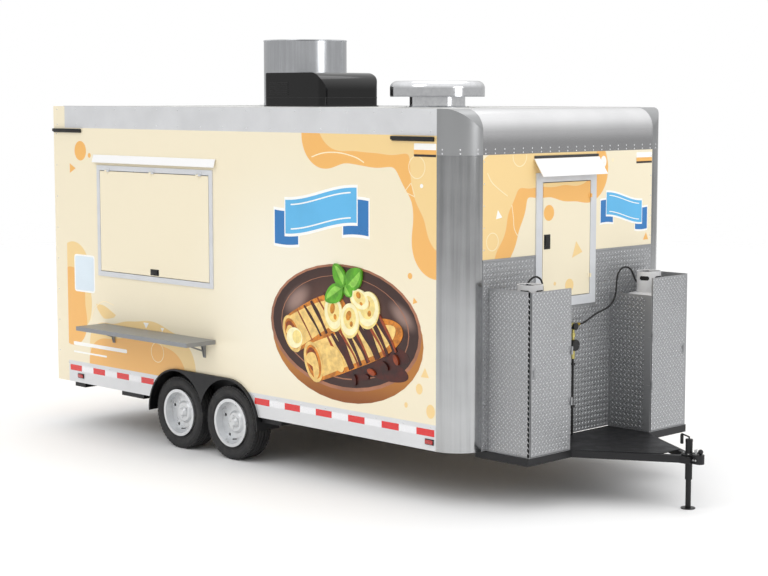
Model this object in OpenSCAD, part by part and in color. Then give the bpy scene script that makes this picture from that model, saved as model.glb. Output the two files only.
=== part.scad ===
// Tandem-axle food concession trailer, standing parked on its wheels and tongue jack.
// +X points forwards to the coupler, +Y to the street side, +Z up.
// The origin is on the ground under the centre of the jack's foot. Millimetres.

/* [Body] */
// Length of the cabin, outside
body_l = 5200; // [4400:50:6600]
// Width of the cabin, outside
body_w = 2590; // [2200:10:2800]
// Height from the floor's top to the roof's top
body_h = 2390; // [2100:10:2900]
// Height of the floor's top above the ground
floor_z = 620; // [600:5:760]
// Thickness of the walls, roof and doors
wall_t = 50; // [40:1:60]
// Thickness of the floor panel
floor_t = 60; // [40:5:80]
// Height of the floor joists
joist_h = 60; // [40:5:70]
// Width of a floor joist
joist_w = 40; // [30:5:60]
// Number of floor joists
joist_n = 13; // [8:1:20]
// Height of the skirt rail below the walls
skirt_h = 200; // [160:5:205]
// Height of the rail along the roof's edge
rail_h = 200; // [120:5:260]
// Height of the rounded cap over the front wall
cap_h = 345; // [250:5:400]
// Plan radius of the front corners
post_r = 245; // [180:5:300]
// Radius of the roof's front edge
cap_r = 170; // [100:5:175]
// Open seam between the pieces of the front cap
cap_seam = 0.3; // [0.2:0.1:0.8]
// Length of the full-height strip at each side wall's rear end
rear_strip = 180; // [100:5:240]
// Distance from the front wall to the jack
tongue_l = 1160; // [1000:10:1500]

/* [Openings and doors] */
// Free width of the serving window
window_w = 1565; // [1200:5:1800]
// Free height of the serving window
window_h = 925; // [700:5:1000]
// Height of the window's sill above the floor
window_sill = 885; // [800:5:950]
// Distance of the window's middle behind the front wall
window_back = 3690; // [3300:10:3800]
// Width of the trim ring round the window and rear door
trim_w = 45; // [30:1:60]
// Thickness of the trim rings, which stand proud of the wall
trim_p = 10; // [6:1:14]
// Gap between a door or hatch and its opening
panel_gap = 6; // [5:0.5:9]
// Free width of the front service hatch
fh_w = 594; // [450:2:700]
// Free height of the front service hatch
fh_h = 912; // [700:2:1000]
// Height of the front hatch's sill above the floor
fh_sill = 907; // [800:1:950]
// Sideways place of the front hatch's middle
fh_y = -69; // [-150:1:0]
// Width of the trim ring round the front hatch
fh_trim = 74; // [50:1:80]
// Free width of the rear entry door
rd_w = 860; // [700:5:1000]
// Free height of the rear entry door
rd_h = 1930; // [1800:5:2050]
// Height of the drip cap's top over the window's opening
drip_rise = 140; // [120:1:200]
// Radius of a door hinge's knuckle
knuckle_r = 8; // [7:0.5:10]
// Radius of a door hinge's pin
pin_r = 3; // [2.5:0.5:4]
// Radius of a gas strut's tube
strut_r = 11; // [9:0.5:12]
// Radius of a gas strut's rod
rod_r = 5; // [4:0.5:6]
// Distance of a strut's upper pin below the hatch hinge
strut_top = 80; // [70:1:100]
// Distance of a strut's lower pin below the hatch hinge
strut_low = 620; // [560:5:680]

/* [Shelf] */
// Width of the serving shelf
shelf_w = 1600; // [1200:10:1700]
// Reach of the shelf from the wall
shelf_d = 320; // [250:5:330]
// Thickness of the shelf
shelf_t = 37; // [25:1:40]
// Height of the shelf's top above the floor
shelf_rise = 400; // [380:5:500]
// Distance of the shelf's middle behind the front wall
shelf_back = 3645; // [3300:5:3800]
// Distance of each bracket in from the shelf's end
bracket_in = 147; // [100:1:200]
// Height of a shelf bracket
bracket_h = 125; // [110:1:140]
// Length of a shelf brace between its pivot and its tip
brace_l = 186; // [150:1:190]

/* [Wheels and fenders] */
// Outer radius of the tyres
tyre_r = 320; // [300:1:345]
// Width of the tyres
tyre_w = 205; // [175:1:215]
// Radius of the wheel rim under the tyre
rim_r = 190; // [170:1:200]
// Radius of the wheel spindles
spindle_r = 25; // [20:1:30]
// Radius of the axle tubes
axle_r = 38; // [30:1:45]
// Distance between the two axles
axle_gap = 702; // [700:1:800]
// Distance of the axles' middle behind the front wall
axle_back = 3025; // [2800:5:3300]
// Room between tyre and fender
fender_gap = 70; // [50:1:75]
// How far the fender stands out from the side wall
fender_out = 25; // [15:1:30]
// Thickness of the fender sheet
fender_t = 4; // [3:0.5:6]

/* [Tongue, coupler and jack] */
// Length of the platform in front of the cabin
platform_l = 420; // [400:5:500]
// Width of the platform
platform_w = 2000; // [1980:10:2100]
// Height of the tongue's beams
beam_h = 55; // [45:1:60]
// Width of the tongue's beams
beam_w = 55; // [45:1:60]
// Thickness of the deck plate
deck_t = 5; // [3:0.5:6]
// Height of the main chassis rails
chassis_h = 90; // [70:5:100]
// Width of the main chassis rails
chassis_w = 60; // [50:5:70]
// Radius of the coupler's ball socket
socket_r = 29.9; // [25.4:0.1:33]
// Radius of the jack's outer tube
jack_r = 27; // [24:1:32]
// Radius of the jack's leg
leg_r = 21; // [16:1:22]
// Height of the jack's top
jack_h = 533; // [520:1:600]
// Travel of the jack's leg
jack_travel = 200; // [150:5:205]
// Radius of the jack's foot
foot_r = 55; // [40:1:80]

/* [Gas equipment] */
// Depth of a gas box in front of the cabin
gas_d = 420; // [410:5:480]
// Outside width of a gas box
gas_w = 480; // [470:5:490]
// Distance of a gas box's inner side from the centre line
gas_in = 505; // [480:5:520]
// Height of a gas box's front and outer side
gas_h = 1250; // [1100:5:1300]
// Height of a gas box's inner side
gas_low = 1105; // [1000:5:1150]
// Thickness of the gas boxes' plate
plate_t = 4; // [3:0.5:6]
// Thickness of a gas box's folded door
gas_door_t = 15; // [10:1:20]
// Radius of a gas cylinder
bottle_r = 187; // [150:1:190]
// Height of a gas cylinder up to its shoulder
bottle_h = 1035; // [900:5:1050]
// Radius of the gas riser pipe
pipe_r = 10; // [8:0.5:14]
// Radius of the gas hoses
hose_r = 7.5; // [6:0.5:9]

/* [Roof units] */
// Length of the air conditioner
ac_l = 790; // [600:10:900]
// Width of the air conditioner
ac_w = 700; // [500:10:800]
// Height of the air conditioner
ac_h = 300; // [250:5:350]
// Distance of the air conditioner's middle behind the front wall
ac_back = 2895; // [2700:5:3000]
// Radius of the exhaust stack
stack_r = 395; // [300:5:400]
// Height of the exhaust stack
stack_h = 620; // [400:5:700]
// Distance of the stack's middle behind the front wall
stack_back = 3760; // [3760:5:4200]
// Sideways place of the exhaust stack
stack_y = 600; // [550:5:700]
// Radius of the roof vent's cap
vent_r = 400; // [300:5:420]
// Height of the roof vent
vent_h = 220; // [150:5:260]
// Distance of the vent's middle behind the front wall
vent_back = 1460; // [1200:5:1600]

/* [Hidden] */
$fn = 64;

// a small seat clearance, a running clearance and a cut's overshoot
seat = 0.3;
run = 0.05;
over = 1;

// the cabin's planes
front_x = -tongue_l;
rear_x = front_x - body_l;
side_y = body_w / 2;
roof_z = floor_z + body_h;
rail_z = roof_z - rail_h;
cap_z = roof_z - cap_h;
skirt_z = floor_z - skirt_h;
post_x = front_x - post_r;
post_y = side_y - post_r;
strip_x = rear_x + rear_strip;

// the chassis, tongue and deck levels
joist_z = floor_z - floor_t - joist_h;
chassis_z = joist_z - chassis_h;
beam_z = chassis_z - beam_h;
deck_z = chassis_z + deck_t;
chassis_y = platform_w / 2 - chassis_w;
platform_x = front_x + platform_l;

// the running gear
axle_x = [for (s = [1, -1]) front_x - axle_back + s * axle_gap / 2];
tyre_out = side_y - 5;
wheel_y = tyre_out - tyre_w / 2;
fender_r = tyre_r + fender_gap;
fender_in = tyre_out - tyre_w - 15;
fender_low = tyre_r - 20;
fender_lip = 15;
spring_w = 50;
spring_y = platform_w / 2 - chassis_w / 2;
leaf_t = 8;
leaf_rise = 26;
leaf_half = (axle_gap - 50) / 2;

// the openings
window_x = front_x - window_back;
window_z = floor_z + window_sill;
window_top = window_z + window_h;
fh_z = floor_z + fh_sill;
drip_w = window_w + 179;
fh_drip_w = fh_w + 202;
fh_drip_rise = 185;

// hinges: half length, strap and how far each axis stands out from the door's face
hinge_h = 30;
strap_l = 30;
strap_t = 3;
hinge_gap = 0.25;
window_axis = [-side_y - trim_p - knuckle_r, window_top - panel_gap / 2];
fh_axis = [front_x + trim_p + knuckle_r, fh_y + fh_w / 2 - panel_gap / 2];
rd_axis = [rear_x - trim_p - knuckle_r, -rd_w / 2 + panel_gap / 2];

// gas struts: the side plane, and the pins' places behind the hatch's hinge
strut_in = trim_p + knuckle_r + wall_t + 20;
strut_side = 35;
strut_y = window_axis[0] + strut_in;
strut_x = [for (s = [-1, 1]) window_x + s * (window_w / 2 - strut_side)];
strut_z = window_axis[1] - strut_top;
strut_len = strut_low - strut_top;
tube_len = 300;
rod_in = 100;

// the shelf's hinge pin and brace pivot, out from the wall and up from the ground
shelf_x = front_x - shelf_back;
shelf_z = floor_z + shelf_rise;
shelf_clear = 5;
shelf_pin_out = 26;
shelf_pin_z = shelf_z - shelf_t - 14;
brace_pin_out = 15;
brace_pin_z = shelf_pin_z - 60;
brace_t = 8;
brace_w = 14;
bracket_x = [for (s = [-1, 1]) shelf_x + s * (shelf_w / 2 - bracket_in)];
shelf_pin_r = 4;
cheek_t = 4;
cheek_gap = 6;

// the gas boxes and cylinders
gas_z = deck_z;
gas_axis = [front_x + gas_d + 5 + knuckle_r, -gas_in - plate_t - 1];
gas_hinge_z = [for (z = [380, 770]) gas_z + z];
bottle_x = front_x + gas_d / 2;
bottle_y = gas_in + gas_w / 2;
bottle_z = gas_z + plate_t;
dome_h = 80;
valve_z = bottle_z + bottle_h + dome_h;
outlet_z = valve_z + 45;
pipe_x = front_x + 45;
pipe_y = -18;
tee_z = gas_z + 885;
tee_half = 50;

// the street hose's route from the tee to the valve, in front of the wall;
// the curb hose is its mirror image about the riser pipe's own place
hose_route = [
    [45, 32, 1300], [45, 60, 1300], [47, 95, 1304], [51, 135, 1317], [56, 180, 1338],
    [62, 225, 1359], [68, 275, 1378], [74, 325, 1392], [80, 370, 1408], [86, 410, 1432],
    [91, 440, 1466], [95, 456, 1510], [98, 462, 1560], [100, 464, 1610], [102, 470, 1655],
    [104, 488, 1692], [106, 520, 1716], [108, 560, 1726], [110, 602, 1719], [110, 640, 1696],
    [108, 668, 1662], [107, 692, 1626], [110, 714, 1598], [121, 733, 1583], [138, 744, 1579],
    [155, 745, 1579], [171.7, 745, 1579]];
hose_sides = 10;

// ---- helpers ----

module along_y(y0, y1) {
    translate([0, y1, 0]) rotate([90, 0, 0]) linear_extrude(y1 - y0) children();
}

module along_x(x0, x1) {
    translate([x0, 0, 0]) rotate([90, 0, 90]) linear_extrude(x1 - x0) children();
}

module along_z(z0, z1) {
    translate([0, 0, z0]) linear_extrude(z1 - z0) children();
}

module block(low, high) {
    translate(low) cube(high - low);
}

module rect(low, high) {
    translate(low) square(high - low);
}

module both_sides() {
    children();
    mirror([0, 1, 0]) children();
}

module rod_y(x, y0, y1, z, r) {
    translate([x, y1, z]) rotate([90, 0, 0]) cylinder(r = r, h = y1 - y0);
}

module rod_x(x0, x1, y, z, r) {
    translate([x0, y, z]) rotate([0, 90, 0]) cylinder(r = r, h = x1 - x0);
}

function arc(cx, cy, r, a0, a1, n = 8) =
    [for (i = [0:n]) let (a = a0 + (a1 - a0) * i / n) [cx + r * cos(a), cy + r * sin(a)]];

// the cabin's plan, moved in from its outer face
module body_plan(inset) {
    rect([rear_x + inset, -side_y + inset], [post_x, side_y - inset]);
    rect([post_x - over, -post_y], [front_x - inset, post_y]);
    for (s = [-1, 1])
        translate([post_x, s * post_y]) circle(r = post_r - inset);
}

// the side view of the front cap, moved in from its outer face
module cap_profile(inset) {
    rect([post_x - inset, cap_z - inset], [front_x - cap_r, roof_z - inset]);
    rect([post_x - inset, cap_z - inset], [front_x - inset, roof_z - cap_r]);
    intersection() {
        translate([front_x - cap_r, roof_z - cap_r]) circle(r = cap_r - inset);
        rect([front_x - cap_r - over, roof_z - cap_r - over], [front_x, roof_z]);
    }
}

// the outline of the wheel well, in side view
module well_profile(r) {
    for (x = axle_x)
        translate([x, tyre_r]) circle(r = r, $fn = 120);
    rect([axle_x[1], tyre_r - r / 2], [axle_x[0], tyre_r + r]);
}

module well_cut() {
    along_y(fender_in - seat, side_y + over) well_profile(fender_r + seat);
}

// one hinge about its local Z axis: the door lies on +X and the outside on +Y
module hinge_fixed() {
    difference() {
        union() {
            translate([0, 0, -hinge_h]) cylinder(r = knuckle_r, h = hinge_h - hinge_gap);
            block([-strap_l, -knuckle_r - over, -hinge_h], [0, -knuckle_r + strap_t, -hinge_gap]);
        }
        block([-panel_gap / 2, -knuckle_r - 2 * over, -hinge_h - over],
              [over, -knuckle_r, over]);
    }
    translate([0, 0, -over]) cylinder(r = pin_r, h = hinge_h + over);
}

module hinge_moving() {
    difference() {
        union() {
            translate([0, 0, hinge_gap]) cylinder(r = knuckle_r, h = hinge_h - hinge_gap);
            block([panel_gap / 2, -knuckle_r - over, hinge_gap],
                  [strap_l, -knuckle_r + strap_t, hinge_h]);
            block([0, -knuckle_r, hinge_gap], [panel_gap, -knuckle_r + strap_t, hinge_h]);
        }
        translate([0, 0, -over]) cylinder(r = pin_r + run, h = hinge_h + 2 * over);
    }
}

// places for the hinges of each door
module at_window_hinges() {
    for (t = [-0.42, 0, 0.42])
        translate([window_x + t * window_w, window_axis[0], window_axis[1]])
            rotate([0, 90, 0]) rotate([180, 0, 0]) children();
}

module at_front_hatch_hinges() {
    for (t = [0.15, 0.85])
        translate([fh_axis[0], fh_axis[1], fh_z + t * fh_h]) rotate([0, 0, -90]) children();
}

module at_rear_door_hinges() {
    for (t = [0.1, 0.5, 0.9])
        translate([rd_axis[0], rd_axis[1], floor_z + t * rd_h]) rotate([0, 0, 90]) children();
}

module at_gas_hinges() {
    for (z = gas_hinge_z)
        translate([gas_axis[0], gas_axis[1], z]) rotate([0, 0, -90]) children();
}

// a flat ring round an opening w by h whose lower left corner is at the origin
module ring_2d(w, h, ring) {
    difference() {
        rect([-ring, -ring], [w + ring, h + ring]);
        square([w, h]);
    }
}

// a bent sheet that throws rain clear of a hatch, in side view
module drip_2d(reach, h) {
    lip = 4;
    polygon([[0, 0], [lip * 3, 0], [reach, -h + lip], [reach, -h], [reach - lip, -h],
        [lip * 2, -lip * 2], [0, -lip * 2]]);
}

// ---- chassis ----

module chassis_rails() {
    outrigger = [[-2275, 240], [-4230, 330], [-4960, 160]];
    outrigger_h = 45;
    color("#1c1c1c") both_sides() {
        block([rear_x + wall_t, chassis_y, chassis_z], [front_x - wall_t, platform_w / 2, joist_z]);
        for (o = outrigger)
            block([front_x + o[0], chassis_y + chassis_w / 2, skirt_z - outrigger_h],
                  [front_x + o[0] + o[1], side_y - wall_t / 2, skirt_z]);
    }
}

module floor() {
    joist_gap = (body_l - 2 * wall_t - joist_w) / (joist_n - 1);
    color("#6b6b6b") difference() {
        union() {
            along_z(floor_z - floor_t, floor_z) body_plan(wall_t + seat);
            along_z(joist_z, floor_z - floor_t / 2) intersection() {
                body_plan(wall_t + seat);
                for (i = [0:joist_n - 1])
                    translate([rear_x + wall_t + i * joist_gap, -side_y]) square([joist_w, body_w]);
            }
        }
        both_sides() well_cut();
    }
}

module skirt_rails() {
    color("#d2d2d3") {
        both_sides() along_y(side_y - wall_t, side_y) difference() {
            rect([strip_x, skirt_z], [post_x, floor_z]);
            well_profile(fender_r + seat);
        }
        block([front_x - wall_t, -post_y, skirt_z], [front_x, post_y, floor_z]);
        block([rear_x, wall_t - side_y, skirt_z], [rear_x + wall_t, side_y - wall_t, floor_z]);
    }
}

// the sloping A-frame beam's centre line meets the jack's bracket and the platform's corner
tip_x = -40;
tip_y = 45;
knee_y = 460;
a_slope = (knee_y - tip_y) / (platform_x - tip_x);
a_back = platform_x + (chassis_y - knee_y) / a_slope;

module tongue_frame() {
    half = beam_w / 2;
    deck_end = -170;
    deck_half = tip_y + a_slope * (deck_end - tip_x);
    color("#181818") difference() {
        union() {
            both_sides() {
                block([front_x - 2 * beam_w, platform_w / 2 - beam_w, beam_z],
                      [platform_x, platform_w / 2, chassis_z]);
                along_z(beam_z, chassis_z)
                    polygon([[tip_x, tip_y - half], [tip_x, tip_y + half],
                        [a_back, chassis_y + half], [a_back, chassis_y - half]]);
            }
            block([platform_x - beam_w, -platform_w / 2, beam_z],
                  [platform_x, platform_w / 2, chassis_z]);
            block([tip_x - half, -tip_y - half, beam_z], [jack_r + half, tip_y + half, chassis_z]);
            along_z(chassis_z - over, deck_z) polygon([[front_x, -platform_w / 2],
                [platform_x, -platform_w / 2], [platform_x, -knee_y - half],
                [deck_end, -deck_half], [deck_end, deck_half], [platform_x, knee_y + half],
                [platform_x, platform_w / 2], [front_x, platform_w / 2]]);
        }
        translate([0, 0, beam_z - over]) cylinder(r = jack_r + seat, h = beam_h + deck_t + 2 * over);
    }
}

coupler_x = 95;
coupler_wall = 8;
coupler_z = chassis_z + 15;

module coupler() {
    nose_r = socket_r + coupler_wall;
    socket_z = beam_z + 30;
    color("#151515") difference() {
        union() {
            along_z(beam_z, coupler_z) {
                translate([coupler_x, 0]) circle(r = nose_r);
                rect([jack_r + beam_w / 2, -nose_r], [coupler_x, nose_r]);
            }
            translate([coupler_x + 10, 0, coupler_z - over]) cylinder(r = 9, h = 12);
            translate([coupler_x + 10, 0, coupler_z + 22]) sphere(r = 20);
        }
        translate([coupler_x, 0, beam_z - over]) cylinder(r = socket_r, h = socket_z - beam_z + over);
        translate([coupler_x, 0, socket_z]) sphere(r = socket_r);
    }
}

leg_top = jack_h - 13 - jack_travel;
tube_z = jack_travel + 25;

module jack_tube() {
    crank_r = 6;
    crank_reach = 130;
    color("#202020") difference() {
        translate([0, 0, tube_z]) cylinder(r = jack_r, h = jack_h - tube_z);
        translate([0, 0, tube_z - over]) cylinder(r = leg_r + run, h = jack_h - tube_z - 10 + over);
    }
    color("#8a8a8a") rotate([0, 0, 150]) {
        translate([0, 0, jack_h - over]) cylinder(r = crank_r, h = 20);
        rod_x(0, crank_reach, 0, jack_h + 16, crank_r);
        translate([crank_reach, 0, jack_h - 60]) cylinder(r = crank_r + 4, h = 76);
    }
}

module jack_leg() {
    color("#3a3a3a") {
        translate([0, 0, over]) cylinder(r = leg_r, h = leg_top - over);
        cylinder(r = foot_r, h = 8);
    }
}

// ---- running gear ----

module axles() {
    color("#222222") for (x = axle_x) {
        rod_y(x, -wheel_y + 95, wheel_y - 95, tyre_r, axle_r);
        rod_y(x, -wheel_y - 30, wheel_y + 30, tyre_r, spindle_r);
    }
}

module leaf_springs() {
    leaf_n = 3;
    leaf_r = (pow(leaf_half, 2) + pow(leaf_rise, 2)) / (2 * leaf_rise);
    pack_z = tyre_r + axle_r;
    hanger = 30;
    color("#262626") both_sides() for (x = axle_x) difference() {
        along_y(spring_y - spring_w / 2, spring_y + spring_w / 2) {
            for (i = [0:leaf_n - 1]) intersection() {
                translate([x, pack_z + leaf_r + i * leaf_t]) difference() {
                    circle(r = leaf_r, $fn = 360);
                    circle(r = leaf_r - leaf_t - 0.01, $fn = 360);
                }
                rect([x - leaf_half * (i + 1) / leaf_n, 0],
                     [x + leaf_half * (i + 1) / leaf_n, chassis_z]);
            }
            for (s = [-1, 1])
                rect([x + s * (leaf_half - hanger / 2) - hanger / 2, pack_z + leaf_rise - 8],
                     [x + s * (leaf_half - hanger / 2) + hanger / 2, chassis_z]);
            rect([x - 45, tyre_r + 10], [x + 45, pack_z + leaf_t]);
        }
        rod_y(x, spring_y - spring_w, spring_y + spring_w, tyre_r, axle_r + run);
    }
}

module fenders() {
    color("#141414") both_sides() {
        along_y(fender_in, side_y + fender_out) intersection() {
            difference() {
                well_profile(fender_r);
                well_profile(fender_r - fender_t);
            }
            rect([axle_x[1] - 2 * fender_r, fender_low], [axle_x[0] + 2 * fender_r, floor_z + body_h]);
        }
        along_y(side_y + fender_out - fender_t, side_y + fender_out) intersection() {
            difference() {
                well_profile(fender_r - over);
                for (x = axle_x)
                    translate([x, tyre_r]) circle(r = fender_r - fender_lip, $fn = 120);
            }
            rect([axle_x[1] - 2 * fender_r, fender_low], [axle_x[0] + 2 * fender_r, floor_z + body_h]);
        }
        along_y(fender_in, fender_in + fender_t) intersection() {
            well_profile(fender_r - over);
            rect([axle_x[1] - 2 * fender_r, skirt_z], [axle_x[0] + 2 * fender_r, floor_z + body_h]);
        }
    }
}

module at_wheel(i, s) {
    translate([axle_x[i], s * wheel_y, tyre_r]) rotate([-90 * s, 0, 0]) children();
}

// half the tyre's section, from the bead round the sidewall to the tread
tyre_half = tyre_w / 2;
shoulder = 22;
crown = tyre_half - 22;
bulge_r = (tyre_r - rim_r) * 0.58;
side_section = concat([[rim_r, tyre_half - 28]],
    arc(rim_r + bulge_r * 0.95, tyre_half - bulge_r, bulge_r, 128, 62, 7),
    arc(tyre_r - shoulder, crown - shoulder, shoulder, 48, 0, 5));

module tyre() {
    mirrored = [for (i = [len(side_section) - 1:-1:0]) [side_section[i][0], -side_section[i][1]]];
    color("#2a2a2a") rotate_extrude($fn = 128) polygon(concat(side_section, mirrored));
}

// the outside of the wheel points along +Z
module rim() {
    barrel_t = 8;
    lip_r = rim_r + 18;
    half = tyre_half - 14;
    dish = 22;
    disc_t = 7;
    hub_r = 48;
    hole_n = 5;
    hole_ring = 105;
    color("#dcdcdc") difference() {
        union() {
            difference() {
                union() {
                    translate([0, 0, -half]) cylinder(r = rim_r, h = 2 * half);
                    for (z = [-half - 14, half + 6])
                        translate([0, 0, z]) cylinder(r = lip_r, h = 8);
                    for (z = [-half - 14, half])
                        translate([0, 0, z]) cylinder(r = rim_r - 3, h = 14);
                }
                translate([0, 0, -half - 20]) cylinder(r = rim_r - barrel_t, h = 2 * half + 40);
            }
            translate([0, 0, dish]) cylinder(r = rim_r - over, h = disc_t);
            translate([0, 0, dish - 10]) cylinder(r1 = 120, r2 = 80, h = 34);
            translate([0, 0, -60]) cylinder(r = hub_r, h = 60 + dish + 30);
            translate([0, 0, dish + 30]) cylinder(r1 = hub_r - 4, r2 = hub_r - 22, h = 20);
        }
        translate([0, 0, -62]) cylinder(r = spindle_r + run, h = 62 + 35);
        for (i = [0:hole_n - 1])
            rotate([0, 0, i * 360 / hole_n + 18]) translate([rim_r - 42, 0, dish - 15])
                cylinder(r = 14, h = 40);
    }
}

// ---- cabin ----

module side_wall_2d() {
    difference() {
        union() {
            rect([strip_x - over, floor_z], [post_x, rail_z]);
            rect([rear_x, skirt_z], [strip_x, roof_z]);
        }
        well_profile(fender_r + seat);
    }
}

module curb_wall() {
    color("#f3ead0") along_y(-side_y, wall_t - side_y) difference() {
        side_wall_2d();
        rect([window_x - window_w / 2, window_z], [window_x + window_w / 2, window_top]);
    }
}

module street_wall() {
    color("#f3ead0") along_y(side_y - wall_t, side_y) side_wall_2d();
}

module front_wall() {
    color("#f3ead0") along_x(front_x - wall_t, front_x) difference() {
        rect([-post_y, floor_z], [post_y, cap_z]);
        rect([fh_y - fh_w / 2, fh_z], [fh_y + fh_w / 2, fh_z + fh_h]);
    }
}

module rear_wall() {
    color("#f3ead0") along_x(rear_x, rear_x + wall_t) difference() {
        rect([wall_t - side_y, floor_z], [side_y - wall_t, rail_z]);
        rect([-rd_w / 2, floor_z - over], [rd_w / 2, floor_z + rd_h]);
    }
}

module roof() {
    color("#e2e2e4")
        block([rear_x + wall_t, wall_t - side_y, roof_z - wall_t], [post_x, side_y - wall_t, roof_z]);
}

module top_rails() {
    color("#d9d9db") {
        both_sides() block([strip_x, side_y - wall_t, rail_z], [post_x, side_y, roof_z]);
        block([rear_x, wall_t - side_y, rail_z], [rear_x + wall_t, side_y - wall_t, roof_z]);
    }
}

// the bent cap as one shell, before its seams
module cap_shell() {
    difference() {
        intersection() {
            along_z(cap_z, roof_z) body_plan(0);
            along_y(-side_y, side_y) cap_profile(0);
        }
        intersection() {
            along_z(cap_z - over, roof_z) body_plan(wall_t);
            along_y(-side_y, side_y) cap_profile(wall_t);
        }
    }
}
module cap_part(low, high) {
    intersection() {
        cap_shell();
        block(low, high);
    }
}

// corner castings, and between them the roof strip, the quarter round and the fascia
module front_cap() {
    half = cap_seam / 2;
    back = post_x - over;
    low = cap_z - over;
    high = roof_z + over;
    bend_x = front_x - cap_r;
    bend_z = roof_z - cap_r;
    mid = post_y - half;
    color("#c4c5c7") {
        both_sides() cap_part([back, -side_y - over, low], [front_x + over, -post_y - half, high]);
        cap_part([back, -mid, bend_z + half], [bend_x - half, mid, high]);
        cap_part([bend_x + half, -mid, bend_z + half], [front_x + over, mid, high]);
        cap_part([bend_x + half, -mid, low], [front_x + over, mid, bend_z - half]);
    }
}

module front_posts() {
    color("#b9bbbe") both_sides() along_z(skirt_z, cap_z) intersection() {
        difference() {
            body_plan(0);
            body_plan(wall_t);
        }
        rect([post_x, post_y], [front_x, side_y]);
    }
}

// ---- openings, hatches and doors ----

module hatch_surrounds() {
    color("#cfcfd2") {
        along_y(-side_y - trim_p, -side_y)
            translate([window_x - window_w / 2, window_z]) ring_2d(window_w, window_h, trim_w);
        at_window_hinges() hinge_fixed();
        along_x(front_x, front_x + trim_p)
            translate([fh_y - fh_w / 2, fh_z]) ring_2d(fh_w, fh_h, fh_trim);
        at_front_hatch_hinges() hinge_fixed();
        along_x(rear_x - trim_p, rear_x)
            translate([-rd_w / 2, floor_z]) ring_2d(rd_w, rd_h, trim_w);
        at_rear_door_hinges() hinge_fixed();
    }
    // the struts' upper pins, on the inside of the wall beside the window
    color("#3a3a3a") for (i = [0, 1]) {
        s = 2 * i - 1;
        out = window_x + s * window_w / 2;
        block([min(out, out + s * 40), wall_t - side_y, strut_z - 18],
              [max(out, out + s * 40), strut_y + 12, strut_z + 18]);
        rod_x(min(out + s * 2, strut_x[i] - s * 8), max(out + s * 2, strut_x[i] - s * 8),
            strut_y, strut_z, 4);
    }
    color("#f8f8f8") {
        along_x(window_x - drip_w / 2, window_x + drip_w / 2) mirror([1, 0])
            translate([side_y, window_top + drip_rise]) drip_2d(30, 70);
        translate([front_x, fh_y, 0]) rotate([0, 0, -90]) along_x(-fh_drip_w / 2, fh_drip_w / 2)
            translate([0, fh_z + fh_h + fh_drip_rise]) drip_2d(100, 136);
    }
}

module window_hatch() {
    g = panel_gap;
    color("#f3ead0") {
        along_y(-side_y - trim_p, wall_t - side_y - trim_p)
            rect([window_x - window_w / 2 + g, window_z + g], [window_x + window_w / 2 - g, window_top - g]);
        at_window_hinges() hinge_moving();
    }
    // the struts' lower studs, beside the rods' eyes
    color("#3a3a3a") for (i = [0, 1]) {
        s = 1 - 2 * i;
        x = strut_x[i] + s * (strut_side - 24);
        low = window_axis[1] - strut_low;
        block([min(x, x + s * 10), wall_t - side_y - trim_p - over, low - 18],
              [max(x, x + s * 10), strut_y + 12, low + 18]);
        rod_x(min(x + s, x - s * 5), max(x + s, x - s * 5), strut_y, low, 7);
    }
}

module strut_tubes() {
    color("#1e1e1e") for (x = strut_x) difference() {
        union() {
            translate([x, strut_y, strut_z - tube_len]) cylinder(r = strut_r, h = tube_len - 6);
            rod_x(x - 5, x + 5, strut_y, strut_z, 11);
        }
        rod_x(x - 6, x + 6, strut_y, strut_z, 4 + run);
        translate([x, strut_y, strut_z - tube_len - over])
            cylinder(r = rod_r + run, h = tube_len - rod_in + 10);
    }
}

module strut_rods() {
    color("#c8c8c8") for (x = strut_x) difference() {
        union() {
            translate([x, strut_y, strut_z - strut_len]) cylinder(r = rod_r, h = strut_len - rod_in);
            rod_x(x - 5, x + 5, strut_y, strut_z - strut_len, 10);
        }
        rod_x(x - 6, x + 6, strut_y, strut_z - strut_len, 4);
    }
}

module serving_shelf() {
    color("#9b9b9b") difference() {
        union() {
            block([shelf_x - shelf_w / 2, -side_y - shelf_d, shelf_z - shelf_t],
                  [shelf_x + shelf_w / 2, -side_y - shelf_clear, shelf_z]);
            for (x = bracket_x) {
                rod_x(x - brace_t / 2, x + brace_t / 2, -side_y - shelf_pin_out, shelf_pin_z, 9);
                block([x - brace_t / 2, -side_y - shelf_pin_out - 9, shelf_pin_z],
                      [x + brace_t / 2, -side_y - shelf_pin_out + 9, shelf_z - shelf_t + over]);
            }
        }
        for (x = bracket_x)
            rod_x(x - brace_t, x + brace_t, -side_y - shelf_pin_out, shelf_pin_z, shelf_pin_r + run);
    }
}

module shelf_brackets() {
    inner = brace_t / 2 + cheek_gap;
    outer = inner + cheek_t;
    low = shelf_pin_z + 9 - bracket_h;
    reach = shelf_pin_out + 8;
    color("#b4b4b6") for (x = bracket_x) {
        block([x - outer, -side_y - 5, low], [x + outer, -side_y, shelf_pin_z + 9]);
        for (s = [-1, 1]) along_x(x + s * (inner + cheek_t / 2) - cheek_t / 2,
                                  x + s * (inner + cheek_t / 2) + cheek_t / 2)
            mirror([1, 0]) translate([side_y, 0]) polygon([[4, low], [10, low],
                [reach, shelf_pin_z - 12], [reach, shelf_pin_z + 8], [4, shelf_pin_z + 8]]);
        rod_x(x - inner - over, x + inner + over, -side_y - shelf_pin_out, shelf_pin_z, shelf_pin_r);
        rod_x(x - inner - over, x + inner + over, -side_y - brace_pin_out, brace_pin_z, shelf_pin_r);
    }
}

// at rest a brace leans out and up until its tip meets the shelf's underside
brace_lift = shelf_z - shelf_t - 1 - brace_pin_z - brace_w / 2;
brace_angle = asin(brace_lift / brace_l);

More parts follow.
